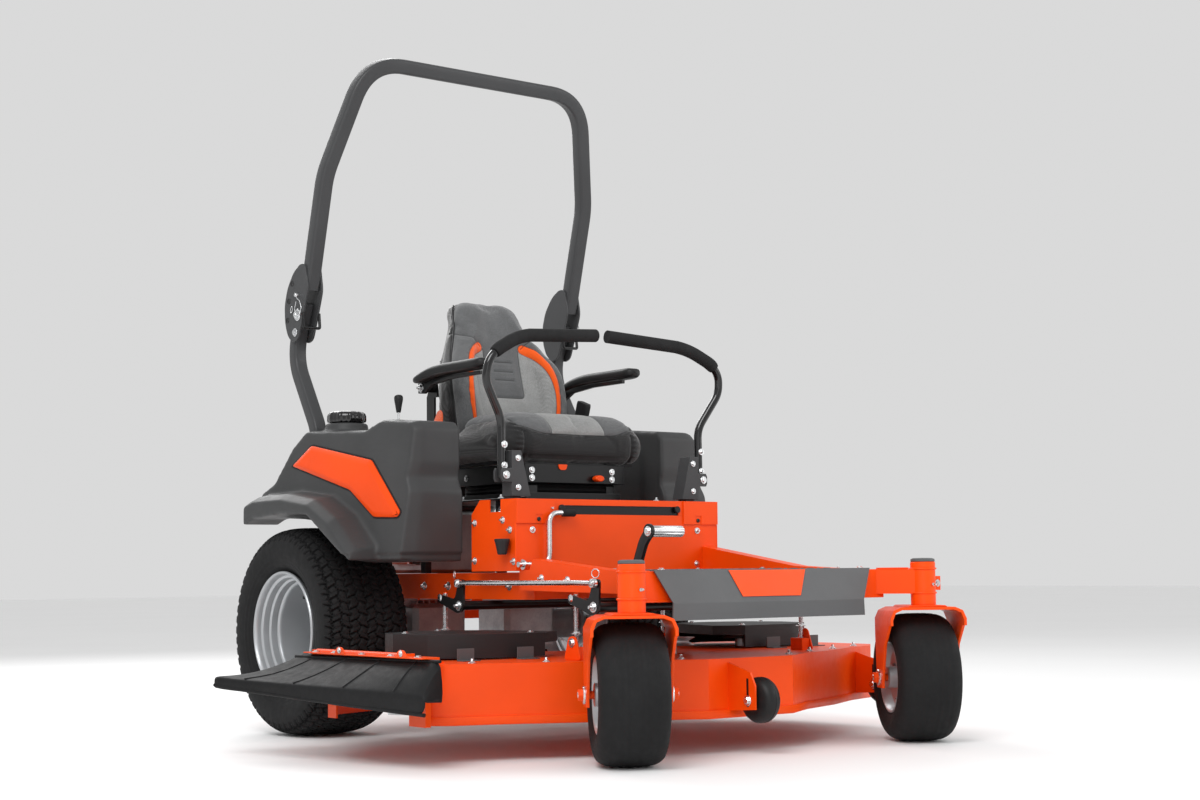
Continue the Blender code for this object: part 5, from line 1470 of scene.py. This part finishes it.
# ----------------------------------------------------------------------- deck
def deck():
    refine("deck_shell", "orange", 0.0016, 3)
    for side, s in SIDES:
        refine(f"belt_cover_{side}", "dark", 0.0035, 3)
    # bolts about the rim and along the chute bracket
    top = 0.2322
    spots = [((s * x, y, top), (0, 0, 1), 0.0066) for s in (-1, 1) for x, y in
             ((0.180, -0.690), (0.330, -0.610), (0.480, -0.545), (0.640, -0.465), (0.700, -0.090),
                 (0.520, 0.080))]
    spots += [((-0.750, y, 0.2360), (0, 0, 1), 0.0060) for y in (-0.350, -0.210, -0.070)]
    bolts("deck_bolts", "deck", spots, threads=True)
    spots = [((s * x, y, 0.2952), (0, 0, 1), 0.0060) for s in (-1, 1)
        for x, y in ((0.360, -0.315), (0.610, -0.120), (0.440, -0.010))]
    bolts("belt_cover_bolts", "deck", spots)
    # small light tabs that catch the belt covers
    bm = bmesh.new()
    for s in (-1, 1):
        for x, y in ((0.395, -0.405), (0.560, -0.385)):
            slab(bm, sorted((s * x, s * (x + 0.050))), (y, y + 0.030), (top, top + 0.0022))
            slab(bm, sorted((s * x, s * (x + 0.050))), (y + 0.0278, y + 0.030), (top, top + 0.030))
    finish_mesh(bm, "deck_tabs", "grey", "deck", (), 40, 0.0008)
    # rolled reinforcing lip under the front edge
    front = [(-0.772, -0.402), (-0.700, -0.472), (-0.580, -0.517), (-0.430, -0.602), (-0.260, -0.672),
        (-0.140, -0.747),
             (0.140, -0.747), (0.260, -0.672), (0.430, -0.602), (0.580, -0.517), (0.700, -0.472), (0.772,
                 -0.402)]
    bm = bmesh.new()
    tube(bm, [(x, y + 0.001, 0.0990) for x, y in front], box_section(0.0040, 0.0100, 0.0018, 2))
    finish_mesh(bm, "deck_front_lip", "orange", "deck", (), 35)
    # lift lugs: shaped cheeks either side of each threaded rod
    bm = bmesh.new()
    for s in (-1, 1):
        for y in (-0.530, 0.048):
            outline = softened([(y - 0.034, top), (y + 0.034, top), (y + 0.014, 0.2900),
                (y - 0.014, 0.2900)], 0.012)
            side_plate(bm, outline, s, 0.3868, 0.3910)
    finish_mesh(bm, "deck_lift_lugs", "orange", "deck", (), 40, 0.001)
    bm = bmesh.new()
    for s in (-1, 1):
        for y in (-0.530, 0.048):
            bolt(bm, Vector((s * 0.3910, y, 0.2740)), (s, 0, 0), 0.0075, 0.0060)
            stud(bm, Vector((s * 0.3780, y, 0.2640)), (0, 0, 1), 0.0063, 0.1290)
            bolt(bm, Vector((s * 0.3780, y, 0.2950)), (0, 0, 1), 0.0088, 0.0070)
            bolt(bm, Vector((s * 0.3780, y, 0.3660)), (0, 0, 1), 0.0088, 0.0070)
    finish_mesh(bm, "deck_lift_rods", "zinc", "deck", (), 30)
    # bolts of the scalp roller brackets, and thin black strips painted as the shade in the bracket slots
    scalp = ((-0.040, -0.820, -1), (0.645, -0.575, -1), (-0.300, 0.145, 1))
    bm, dark = bmesh.new(), bmesh.new()
    for x, y, ahead in scalp:
        slot_y = y - ahead * 0.004
        # black strip painted as the shade in the slot
        slab(dark, (x - 0.0384, x - 0.0381), (slot_y - 0.0035, slot_y + 0.0035), (0.118, 0.186))
        bolt(bm, Vector((x - 0.0384, slot_y, 0.133)), (-1, 0, 0), 0.0085, 0.0070)
        bolt(bm, Vector((x + 0.0335, y, 0.133)), (1, 0, 0), 0.0080, 0.0060)
    finish_mesh(bm, "roller_bracket_bolts", "zinc", "deck", (), 30)
    finish_mesh(dark, "roller_bracket_slot_shade", "black", "deck", (), 30)
    for name, (x, y, _) in zip(("front", "left", "right"), scalp):
        profile = [(0.0070, -0.0262), (0.030, -0.0262), (0.041, -0.0240), (0.050, -0.0185), (0.0548, -0.0100),
                   (0.0556, -0.0030), (0.0540, -0.0015), (0.0540, 0.0015), (0.0556, 0.0030), (0.0548, 0.0100),
                   (0.050, 0.0185), (0.041, 0.0240), (0.030, 0.0262), (0.0070, 0.0262)]
        bm = bmesh.new()
        spin(bm, profile, 48, turn_to((1, 0, 0), (x, y, 0.133)))
        finish_mesh(bm, f"scalp_roller_{name}_tread", "plastic", f"roller_{name}",
            [f"scalp_roller_{name}"], 40)


deck()


def chute():
    """Moulded rubber chute: a dished wing with a rolled outer edge and a short hanging skirt."""
    inner = [Vector((-0.8140, -0.600 + 0.630 * t, 0.2480)) for t in np.linspace(0, 1, 22)]
    edge, _ = spline([(-0.872, -0.620, 0.176), (-0.905, -0.440, 0.176), (-0.955, -0.200, 0.178),
        (-1.010, 0.030, 0.182),
                      (-1.029, 0.094, 0.186)], 22)
    rows = []
    for k, (a, b) in enumerate(zip(inner, edge)):
        b = Vector(b)
        t = k / 21
        row = []
        for v in (0.0, 0.10, 0.25, 0.45, 0.65, 0.82, 0.94, 1.0):
            p = a.lerp(b, v)
            p.z += 0.010 * math.sin(math.pi * v) * (1 - t) - 0.016 * math.sin(math.pi * v) * t + 0.010 * t * v
            row.append(p)
        # rolled edge, then the skirt
        for drop, out in ((0.004, 0.003), (0.012, 0.004), (0.030, 0.003), (0.046 - 0.026 * t, 0.002)):
            row.append(Vector((b.x - out, b.y, row[7].z - drop)))
        rows.append(row)
    bm = bmesh.new()
    grid = [[bm.verts.new(p) for p in row] for row in rows]
    for a, b in zip(grid, grid[1:]):
        for i in range(len(a) - 1):
            bm.faces.new((a[i], a[i + 1], b[i + 1], b[i]))
    # front wall closes the end that faces ahead
    foot = [bm.verts.new((p.x, p.y - 0.004, 0.150 + 0.012 * i / 11)) for i, p in enumerate(rows[0])]
    for i in range(len(foot) - 1):
        bm.faces.new((grid[0][i], foot[i], foot[i + 1], grid[0][i + 1]))
    bmesh.ops.recalc_face_normals(bm, faces=bm.faces)
    obj = finish_mesh(bm, "discharge_chute_sheet", "chute", "chute", ["discharge_chute"],
        60, weld=0.0004)
    thick = obj.modifiers.new("thick", "SOLIDIFY")
    thick.thickness = 0.0055
    thick.offset = 0.0
    fine = obj.modifiers.new("fine", "SUBSURF")
    fine.levels = fine.render_levels = 1
    # moulded ribs and edge bead
    bm = bmesh.new()
    tube(bm, [row[-1] for row in rows], circle(0.0046, 10))
    tube(bm, [row[1] + Vector((0, 0, 0.003)) for row in rows], circle(0.0040, 10))
    for k in (3, 8, 13, 18):
        tube(bm, [p + Vector((0, 0, 0.0022)) for p in rows[k][1:8]], circle(0.0034, 8))
    finish_mesh(bm, "discharge_chute_ribs", "chute", "chute", (), 50)
    # hinge strip with folded tabs, barrel and bolts
    bm = bmesh.new()
    slab(bm, (-0.8420, -0.8015), (-0.560, -0.0130), (0.2510, 0.2540))
    spin(bm, [(0.0050, 0.0), (0.0100, 0.0), (0.0106, 0.0012), (0.0106, 0.3928), (0.0100, 0.394),
        (0.0050, 0.394)], 26,
         turn_to((0, 1, 0), (CHUTE_HINGE[0], -0.4070, CHUTE_HINGE[1])))
    for y in (-0.470, -0.190):
        outline = softened([(y - 0.026, 0.2525), (y + 0.026, 0.2525), (y + 0.012, 0.2700),
            (y - 0.012, 0.2700)], 0.008)
        flat = Matrix(((0, 0, 1, 0), (1, 0, 0, 0), (0, 1, 0, 0), (0, 0, 0, 1)))
        plate(bm, outline, flat, -0.8420, -0.8390)
    finish_mesh(bm, "chute_hinge_strip", "orange", "chute", (), 40, 0.0008)
    spots = [((-0.8260, y, 0.2540), (0, 0, 1), 0.0062) for y in (-0.520, -0.400, -0.270, -0.140, -0.050)]
    spots += [((-0.8420, y, 0.2620), (-1, 0, 0), 0.0050) for y in (-0.470, -0.190)]
    bolts("chute_hinge_bolts", "chute", spots)


chute()


# ------------------------------------------------------- seat suspension boot
def suspension():
    """Folded rubber boot between the suspension's base and its top plate."""
    bm = bmesh.new()
    rings = []
    folds = 5
    for i in range(folds * 4 + 1):
        t = i / (folds * 4)
        inset = 0.0055 * (0.5 + 0.5 * math.cos(2 * math.pi * folds * t))
        outline = box_section(0.160 - inset, 0.155 - inset, 0.020, 5)
        rings.append([(x, y + 0.136, 0.6646 + 0.0688 * t) for x, y in outline])
    loft(bm, rings)
    boot = finish_mesh(bm, "suspension_boot", "chute", "chassis", (), 60)
    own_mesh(boot)
    spots = [((x, -0.0362, z), (0, -1, 0), 0.0062) for x in (-0.150, 0.128) for z in (0.703, 0.724)]
    spots += [((-0.1727, y, 0.712), (-1, 0, 0), 0.0060) for y in (0.020, 0.250)]
    bolts("suspension_bolts", "suspension", spots)
    # weight knob and pull tab under the front of the seat
    bm = bmesh.new()
    rings = []
    for y, k in ((-0.0370, 0.50), (-0.0400, 0.90), (-0.0460, 1.0), (-0.0560, 0.94), (-0.0590, 0.72)):
        rings.append([(0.070 + 0.0165 * k * math.cos(a), y, 0.7040 + 0.0095 * k * math.sin(a))
                      for a in [2 * math.pi * i / 24 for i in range(24)]])
    loft(bm, rings)
    tab = [(-0.062, 0.7415), (-0.030, 0.7415), (-0.034, 0.7290), (-0.040, 0.7260), (-0.052, 0.7260),
        (-0.058, 0.7290)]
    flat = Matrix(((1, 0, 0, 0), (0, 0, -1, 0), (0, 1, 0, 0), (0, 0, 0, 1)))
    plate(bm, softened(tab, 0.004), flat, 0.0362, 0.0392)
    finish_mesh(bm, "suspension_knob", "orange", "suspension", (), 40, 0.0006)


suspension()


# ----------------------------------------------------------- frame and platform
def chassis():
    refine("frame_weldment", "orange", 0.0016, 3)
    bm, caps = bmesh.new(), bmesh.new()
    for s in (-1, 1):
        at = turn_to((0, 0, 1), (s * CASTER_PIVOT.x, CASTER_PIVOT.y, 0))
        spin(bm, [(0.0300, 0.3515), (0.0320, 0.3535), (0.0320, 0.4605), (0.0300, 0.4628)], 48, at)
        spin(caps, [(0.0, 0.4580), (0.0180, 0.4580), (0.0300, 0.4632), (0.0312, 0.4645), (0.0305, 0.4700),
                    (0.0240, 0.4725), (0.0, 0.4730)], 48, at, False)
    finish_mesh(bm, "head_tube_sleeves", "orange", "chassis", (), 40)
    finish_mesh(caps, "head_tube_caps", "grey", "chassis", (), 40)
    # grease nipples and the small bracket beside the left head tube
    bm = bmesh.new()
    for s in (-1, 1):
        at = Vector((s * 0.482, -0.9080, 0.4050))
        bolt(bm, at, (0.2 * s, -1, 0), 0.0046, 0.0050, False)
        spin(bm, [(0.0, 0.0), (0.0024, 0.0), (0.0024, 0.006), (0.0033, 0.008), (0.0018, 0.0105),
            (0.0, 0.0105)], 14,
             turn_to((0.2 * s, -1, 0), at + Vector((0, -0.004, 0))), False)
    bolt(bm, Vector((0.5320, -0.8800, 0.4080)), (0, -1, 0), 0.0062, 0.0050)
    finish_mesh(bm, "frame_grease_fittings", "zinc", "chassis", (), 30)
    bm = bmesh.new()
    slab(bm, (0.5120, 0.5440), (-0.8800, -0.8760), (0.3900, 0.4260))
    for s in (-1, 1):
        outline = [(s * 0.400, -0.798), (s * 0.452, -0.856), (s * 0.430, -0.800), (s * 0.412, -0.778)]
        plate(bm, outline if s > 0 else list(reversed(outline)), Matrix.Identity(4), 0.4445, 0.4490)
    finish_mesh(bm, "frame_brackets", "orange", "chassis", (), 40, 0.0008)
    bm = bmesh.new()
    tube(bm, [(x, -0.8003, 0.3755) for x in (-0.412, 0.412)], circle(0.0030, 8))
    for s in (-1, 1):
        tube(bm, [(s * 0.3008, y, 0.4100) for y in (-0.236, -0.234)], circle(0.003, 8))
        for z in (0.3835, 0.4455):
            at = turn_to((0, 0, 1), (s * CASTER_PIVOT.x, CASTER_PIVOT.y, z))
            ring = [at @ Vector((0.0328 * math.cos(a), 0.0328 * math.sin(a), 0))
                for a in np.linspace(0, 2 * math.pi, 40)]
            tube(bm, ring, circle(0.0026, 8))
    finish_mesh(bm, "frame_weld_beads", "orange", "chassis", (), 60)
    refine("foot_platform", "grey", 0.0012, 3)
    # raised lozenges in a staggered pattern on the tread
    bm = bmesh.new()
    for i in range(17):
        for j in range(18):
            x, y = -0.232 + 0.029 * i, -0.780 + 0.030 * j
            turn = math.radians(45 if (i + j) % 2 else -45)
            ring = []
            for z, k in ((0.4488, 1.0), (0.4504, 0.72)):
                at = Matrix.Translation((x, y, z)) @ Matrix.Rotation(turn, 4, "Z")
                angles = [2 * math.pi * n / 8 for n in range(8)]
                ring.append([at @ Vector((0.0105 * k * math.cos(a), 0.0034 * k * math.sin(a), 0))
                    for a in angles])
            loft(bm, ring)
    finish_mesh(bm, "foot_platform_grip", "grey", "chassis", (), 50)
    spots = [((s * x, y, 0.4492), (0, 0, 1), 0.0060) for s in (-1, 1)
        for x, y in ((0.330, -0.799), (0.250, -0.260), (0.250, -0.520))]
    bolts("foot_platform_bolts", "chassis", spots)
    # bolts of the seat pan and along the frame sides
    spots = [((s * 0.270, y, 0.6436), (0, 0, 1), 0.0060) for s in (-1, 1) for y in (-0.060, 0.120, 0.310)]
    spots += [((s * 0.3352, y, z), (s, 0, 0), 0.0068) for s in (-1, 1)
        for y, z in ((-0.330, 0.430), (-0.440, 0.425))]
    spots += [((s * 0.3004, y, 0.410), (s, 0, 0), 0.0075) for s in (-1, 1) for y in (-0.140, 0.150, 0.270)]
    bolts("frame_bolts", "chassis", spots, threads=True)


chassis()


# --------------------------------------------------------------- engine and rear
def engine():
    refine("engine_shroud", "plastic", 0.003, 3)
    bm = bmesh.new()
    at = turn_to((0, 0, 1), (0, 0.660, 0))
    for r in (0.022, 0.036, 0.050, 0.064, 0.077):
        spin(bm, [(r - 0.0022, 0.7618), (r + 0.0022, 0.7618), (r + 0.0018, 0.7650), (r - 0.0018, 0.7650)],
            48, at)
    for i in range(8):
        a = math.pi * i / 4
        tube(bm, [(0.018 * math.cos(a), 0.660 + 0.018 * math.sin(a), 0.7632),
                  (0.078 * math.cos(a), 0.660 + 0.078 * math.sin(a), 0.7632)], circle(0.0017, 8))
    finish_mesh(bm, "engine_grille", "plastic", "chassis", (), 40)
    spots = [((0.182 * math.cos(a), 0.660 + 0.132 * math.sin(a), 0.7150), (math.cos(a), math.sin(a), 0.2),
        0.0058)
             for a in [math.radians(d) for d in (30, 90, 150, 210, 270, 330)]]
    bolts("engine_shroud_bolts", "chassis", spots)
    # rocker covers with their cooling fins behind, and bolts
    bm = bmesh.new()
    for s in (-1, 1):
        for k in range(7):
            z = 0.4700 + 0.0115 * k
            slab(bm, sorted((s * 0.128, s * 0.146)), (0.560, 0.690), (z, z + 0.0035))
        rings = []
        for x, k in ((0.1460, 1.0), (0.1600, 1.0), (0.1660, 0.90), (0.1680, 0.70)):
            rings.append([(s * x, 0.625 + y * k, 0.507 + z * k)
                for y, z in box_section(0.054, 0.034, 0.014, 4)])
        loft(bm, rings)
    finish_mesh(bm, "engine_rocker_covers", "cast", "chassis", (), 35, 0.0008)
    spots = [((s * 0.1600, 0.625 + y, 0.507 + z), (s, 0, 0), 0.0050) for s in (-1, 1)
        for y in (-0.046, 0.046) for z in (-0.026, 0.026)]
    spots += [((x, 0.790, 0.462), (0, 1, 0), 0.0065) for x in (-0.110, 0.110)]
    bolts("engine_bolts", "chassis", spots)
    refine("air_cleaner", "plastic", 0.004, 3)
    bm = bmesh.new()
    for x in (-0.100, -0.020, 0.020, 0.100):
        spin(bm, [(0.0575, -0.003), (0.0600, -0.0022), (0.0600, 0.0022), (0.0575, 0.003)], 40,
            turn_to((1, 0, 0), (x, 0.660, 0.824)))
    for x in (-0.060, 0.060):
        slab(bm, (x - 0.010, x + 0.010), (0.5980, 0.6030), (0.800, 0.848))
    finish_mesh(bm, "air_cleaner_bands", "black", "chassis", (), 40, 0.0006)
    # muffler can with rolled end seams, straps and a turned-down outlet
    bm = bmesh.new()
    at = turn_to((1, 0, 0), (0, 0.916, 0.520))
    profile = [(0.0, -0.168), (0.040, -0.168), (0.046, -0.1700), (0.0500, -0.1680), (0.0500, -0.1640),
        (0.0485, -0.1620),
               (0.0485, 0.1620), (0.0500, 0.1640), (0.0500, 0.1680), (0.046, 0.1700), (0.040, 0.168), (0.0,
                   0.168)]
    spin(bm, profile, 56, at, False)
    tube(bm, rounded([(0.120, 0.862, 0.520), (0.120, 0.820, 0.520), (0.120, 0.800, 0.500)], 0.02, 5),
        circle(0.0140, 20))
    ring = circle(0.0170, 24)
    tube(bm, [(-0.120, 0.955, 0.520), (-0.120, 0.9805, 0.520)], ring)
    finish_mesh(bm, "muffler_can", "exhaust", "chassis", ["muffler"], 40)
    bm = bmesh.new()
    for x in (-0.085, 0.085):
        spin(bm, [(0.0485, -0.010), (0.0506, -0.0095), (0.0506, 0.0095), (0.0485, 0.010)], 56,
            turn_to((1, 0, 0), (x, 0.916, 0.520)))
        slab(bm, (x - 0.010, x + 0.010), (0.8500, 0.8580), (0.4446, 0.5200))
    finish_mesh(bm, "muffler_straps", "zinc", "chassis", (), 40, 0.0006)
    # black disc at the outlet's mouth: soot, and painted shade for the inside of the open pipe
    bm = bmesh.new()
    spin(bm, [(0.0, 0.0), (0.0150, 0.0), (0.0150, 0.0008), (0.0, 0.0008)], 24,
        turn_to((0, 1, 0), (-0.120, 0.9803, 0.520)), False)
    finish_mesh(bm, "muffler_outlet_soot_and_shade", "black", "chassis", (), 40)

    guard = rounded([(-0.3150, 0.885, 0.410), (-0.3150, 1.0000, 0.410), (0.3150, 1.0000, 0.410),
        (0.3150, 0.885, 0.410)], 0.05, 10)
    bm = bmesh.new()
    tube(bm, guard, circle(0.0158, 24))
    for a, b in ((-0.335, -0.295), (0.295, 0.335)):
        slab(bm, (a, b), (0.8610, 0.889), (0.3600, 0.4600))
    slab(bm, (-0.300, 0.300), (0.992, 1.006), (0.360, 0.410))
    finish_mesh(bm, "rear_guard_tube", "charcoal", "chassis", ["rear_guard"], 40, 0.0010)
    spots = [((s * 0.315, 0.8892, z), (0, 1, 0), 0.0075) for s in (-1, 1) for z in (0.374, 0.446)]
    spots += [((x, 1.0062, 0.385), (0, 1, 0), 0.0070) for x in (-0.250, -0.080, 0.080, 0.250)]
    bolts("rear_guard_bolts", "chassis", spots)

    for side, s in SIDES:
        refine(f"transaxle_{side}", "cast", 0.004, 3)
        bm = bmesh.new()
        for k in range(8):
            x = 0.085 + 0.021 * k
            slab(bm, sorted((s * x, s * (x + 0.005))), (0.412, 0.548), (0.3590, 0.3680))
        finish_mesh(bm, f"transaxle_{side}_fins", "cast", "chassis", (), 35, 0.0008)
        spots = [((s * x, 0.5602, z), (0, 1, 0), 0.0062) for x in (0.090, 0.160, 0.230)
            for z in (0.232, 0.342)]
        bolts(f"transaxle_{side}_bolts", "chassis", spots)
        # lug nuts round the wheel hub
        bm = bmesh.new()
        for i in range(5):
            a = 2 * math.pi * i / 5 + 0.74
            at = Vector((s * 0.4220, 0.494 + 0.057 * math.cos(a), 0.288 + 0.057 * math.sin(a)))
            bolt(bm, at, (s, 0, 0), 0.0100, 0.0120)
        finish_mesh(bm, f"rear_lug_nuts_{side}", "zinc", f"rear_wheel_{side}", (), 30)


engine()

# ------------------------------------------- CAD nodes kept in shape, only finished
NODE_MATS = {
    "orange": ["kick_plate_panel"],
    "charcoal": ["steering_lever_right", "steering_lever_left"],
    "black": ["seat_pan", "suspension_base", "suspension_top", "seat_frame", "armrest_arm_right",
        "armrest_arm_left"],
    "blade": ["blade_right", "blade_centre", "blade_left"],
    "cast": ["engine_block"],
}
for mat, nodes in NODE_MATS.items():
    for node in nodes:
        refine(node, mat)
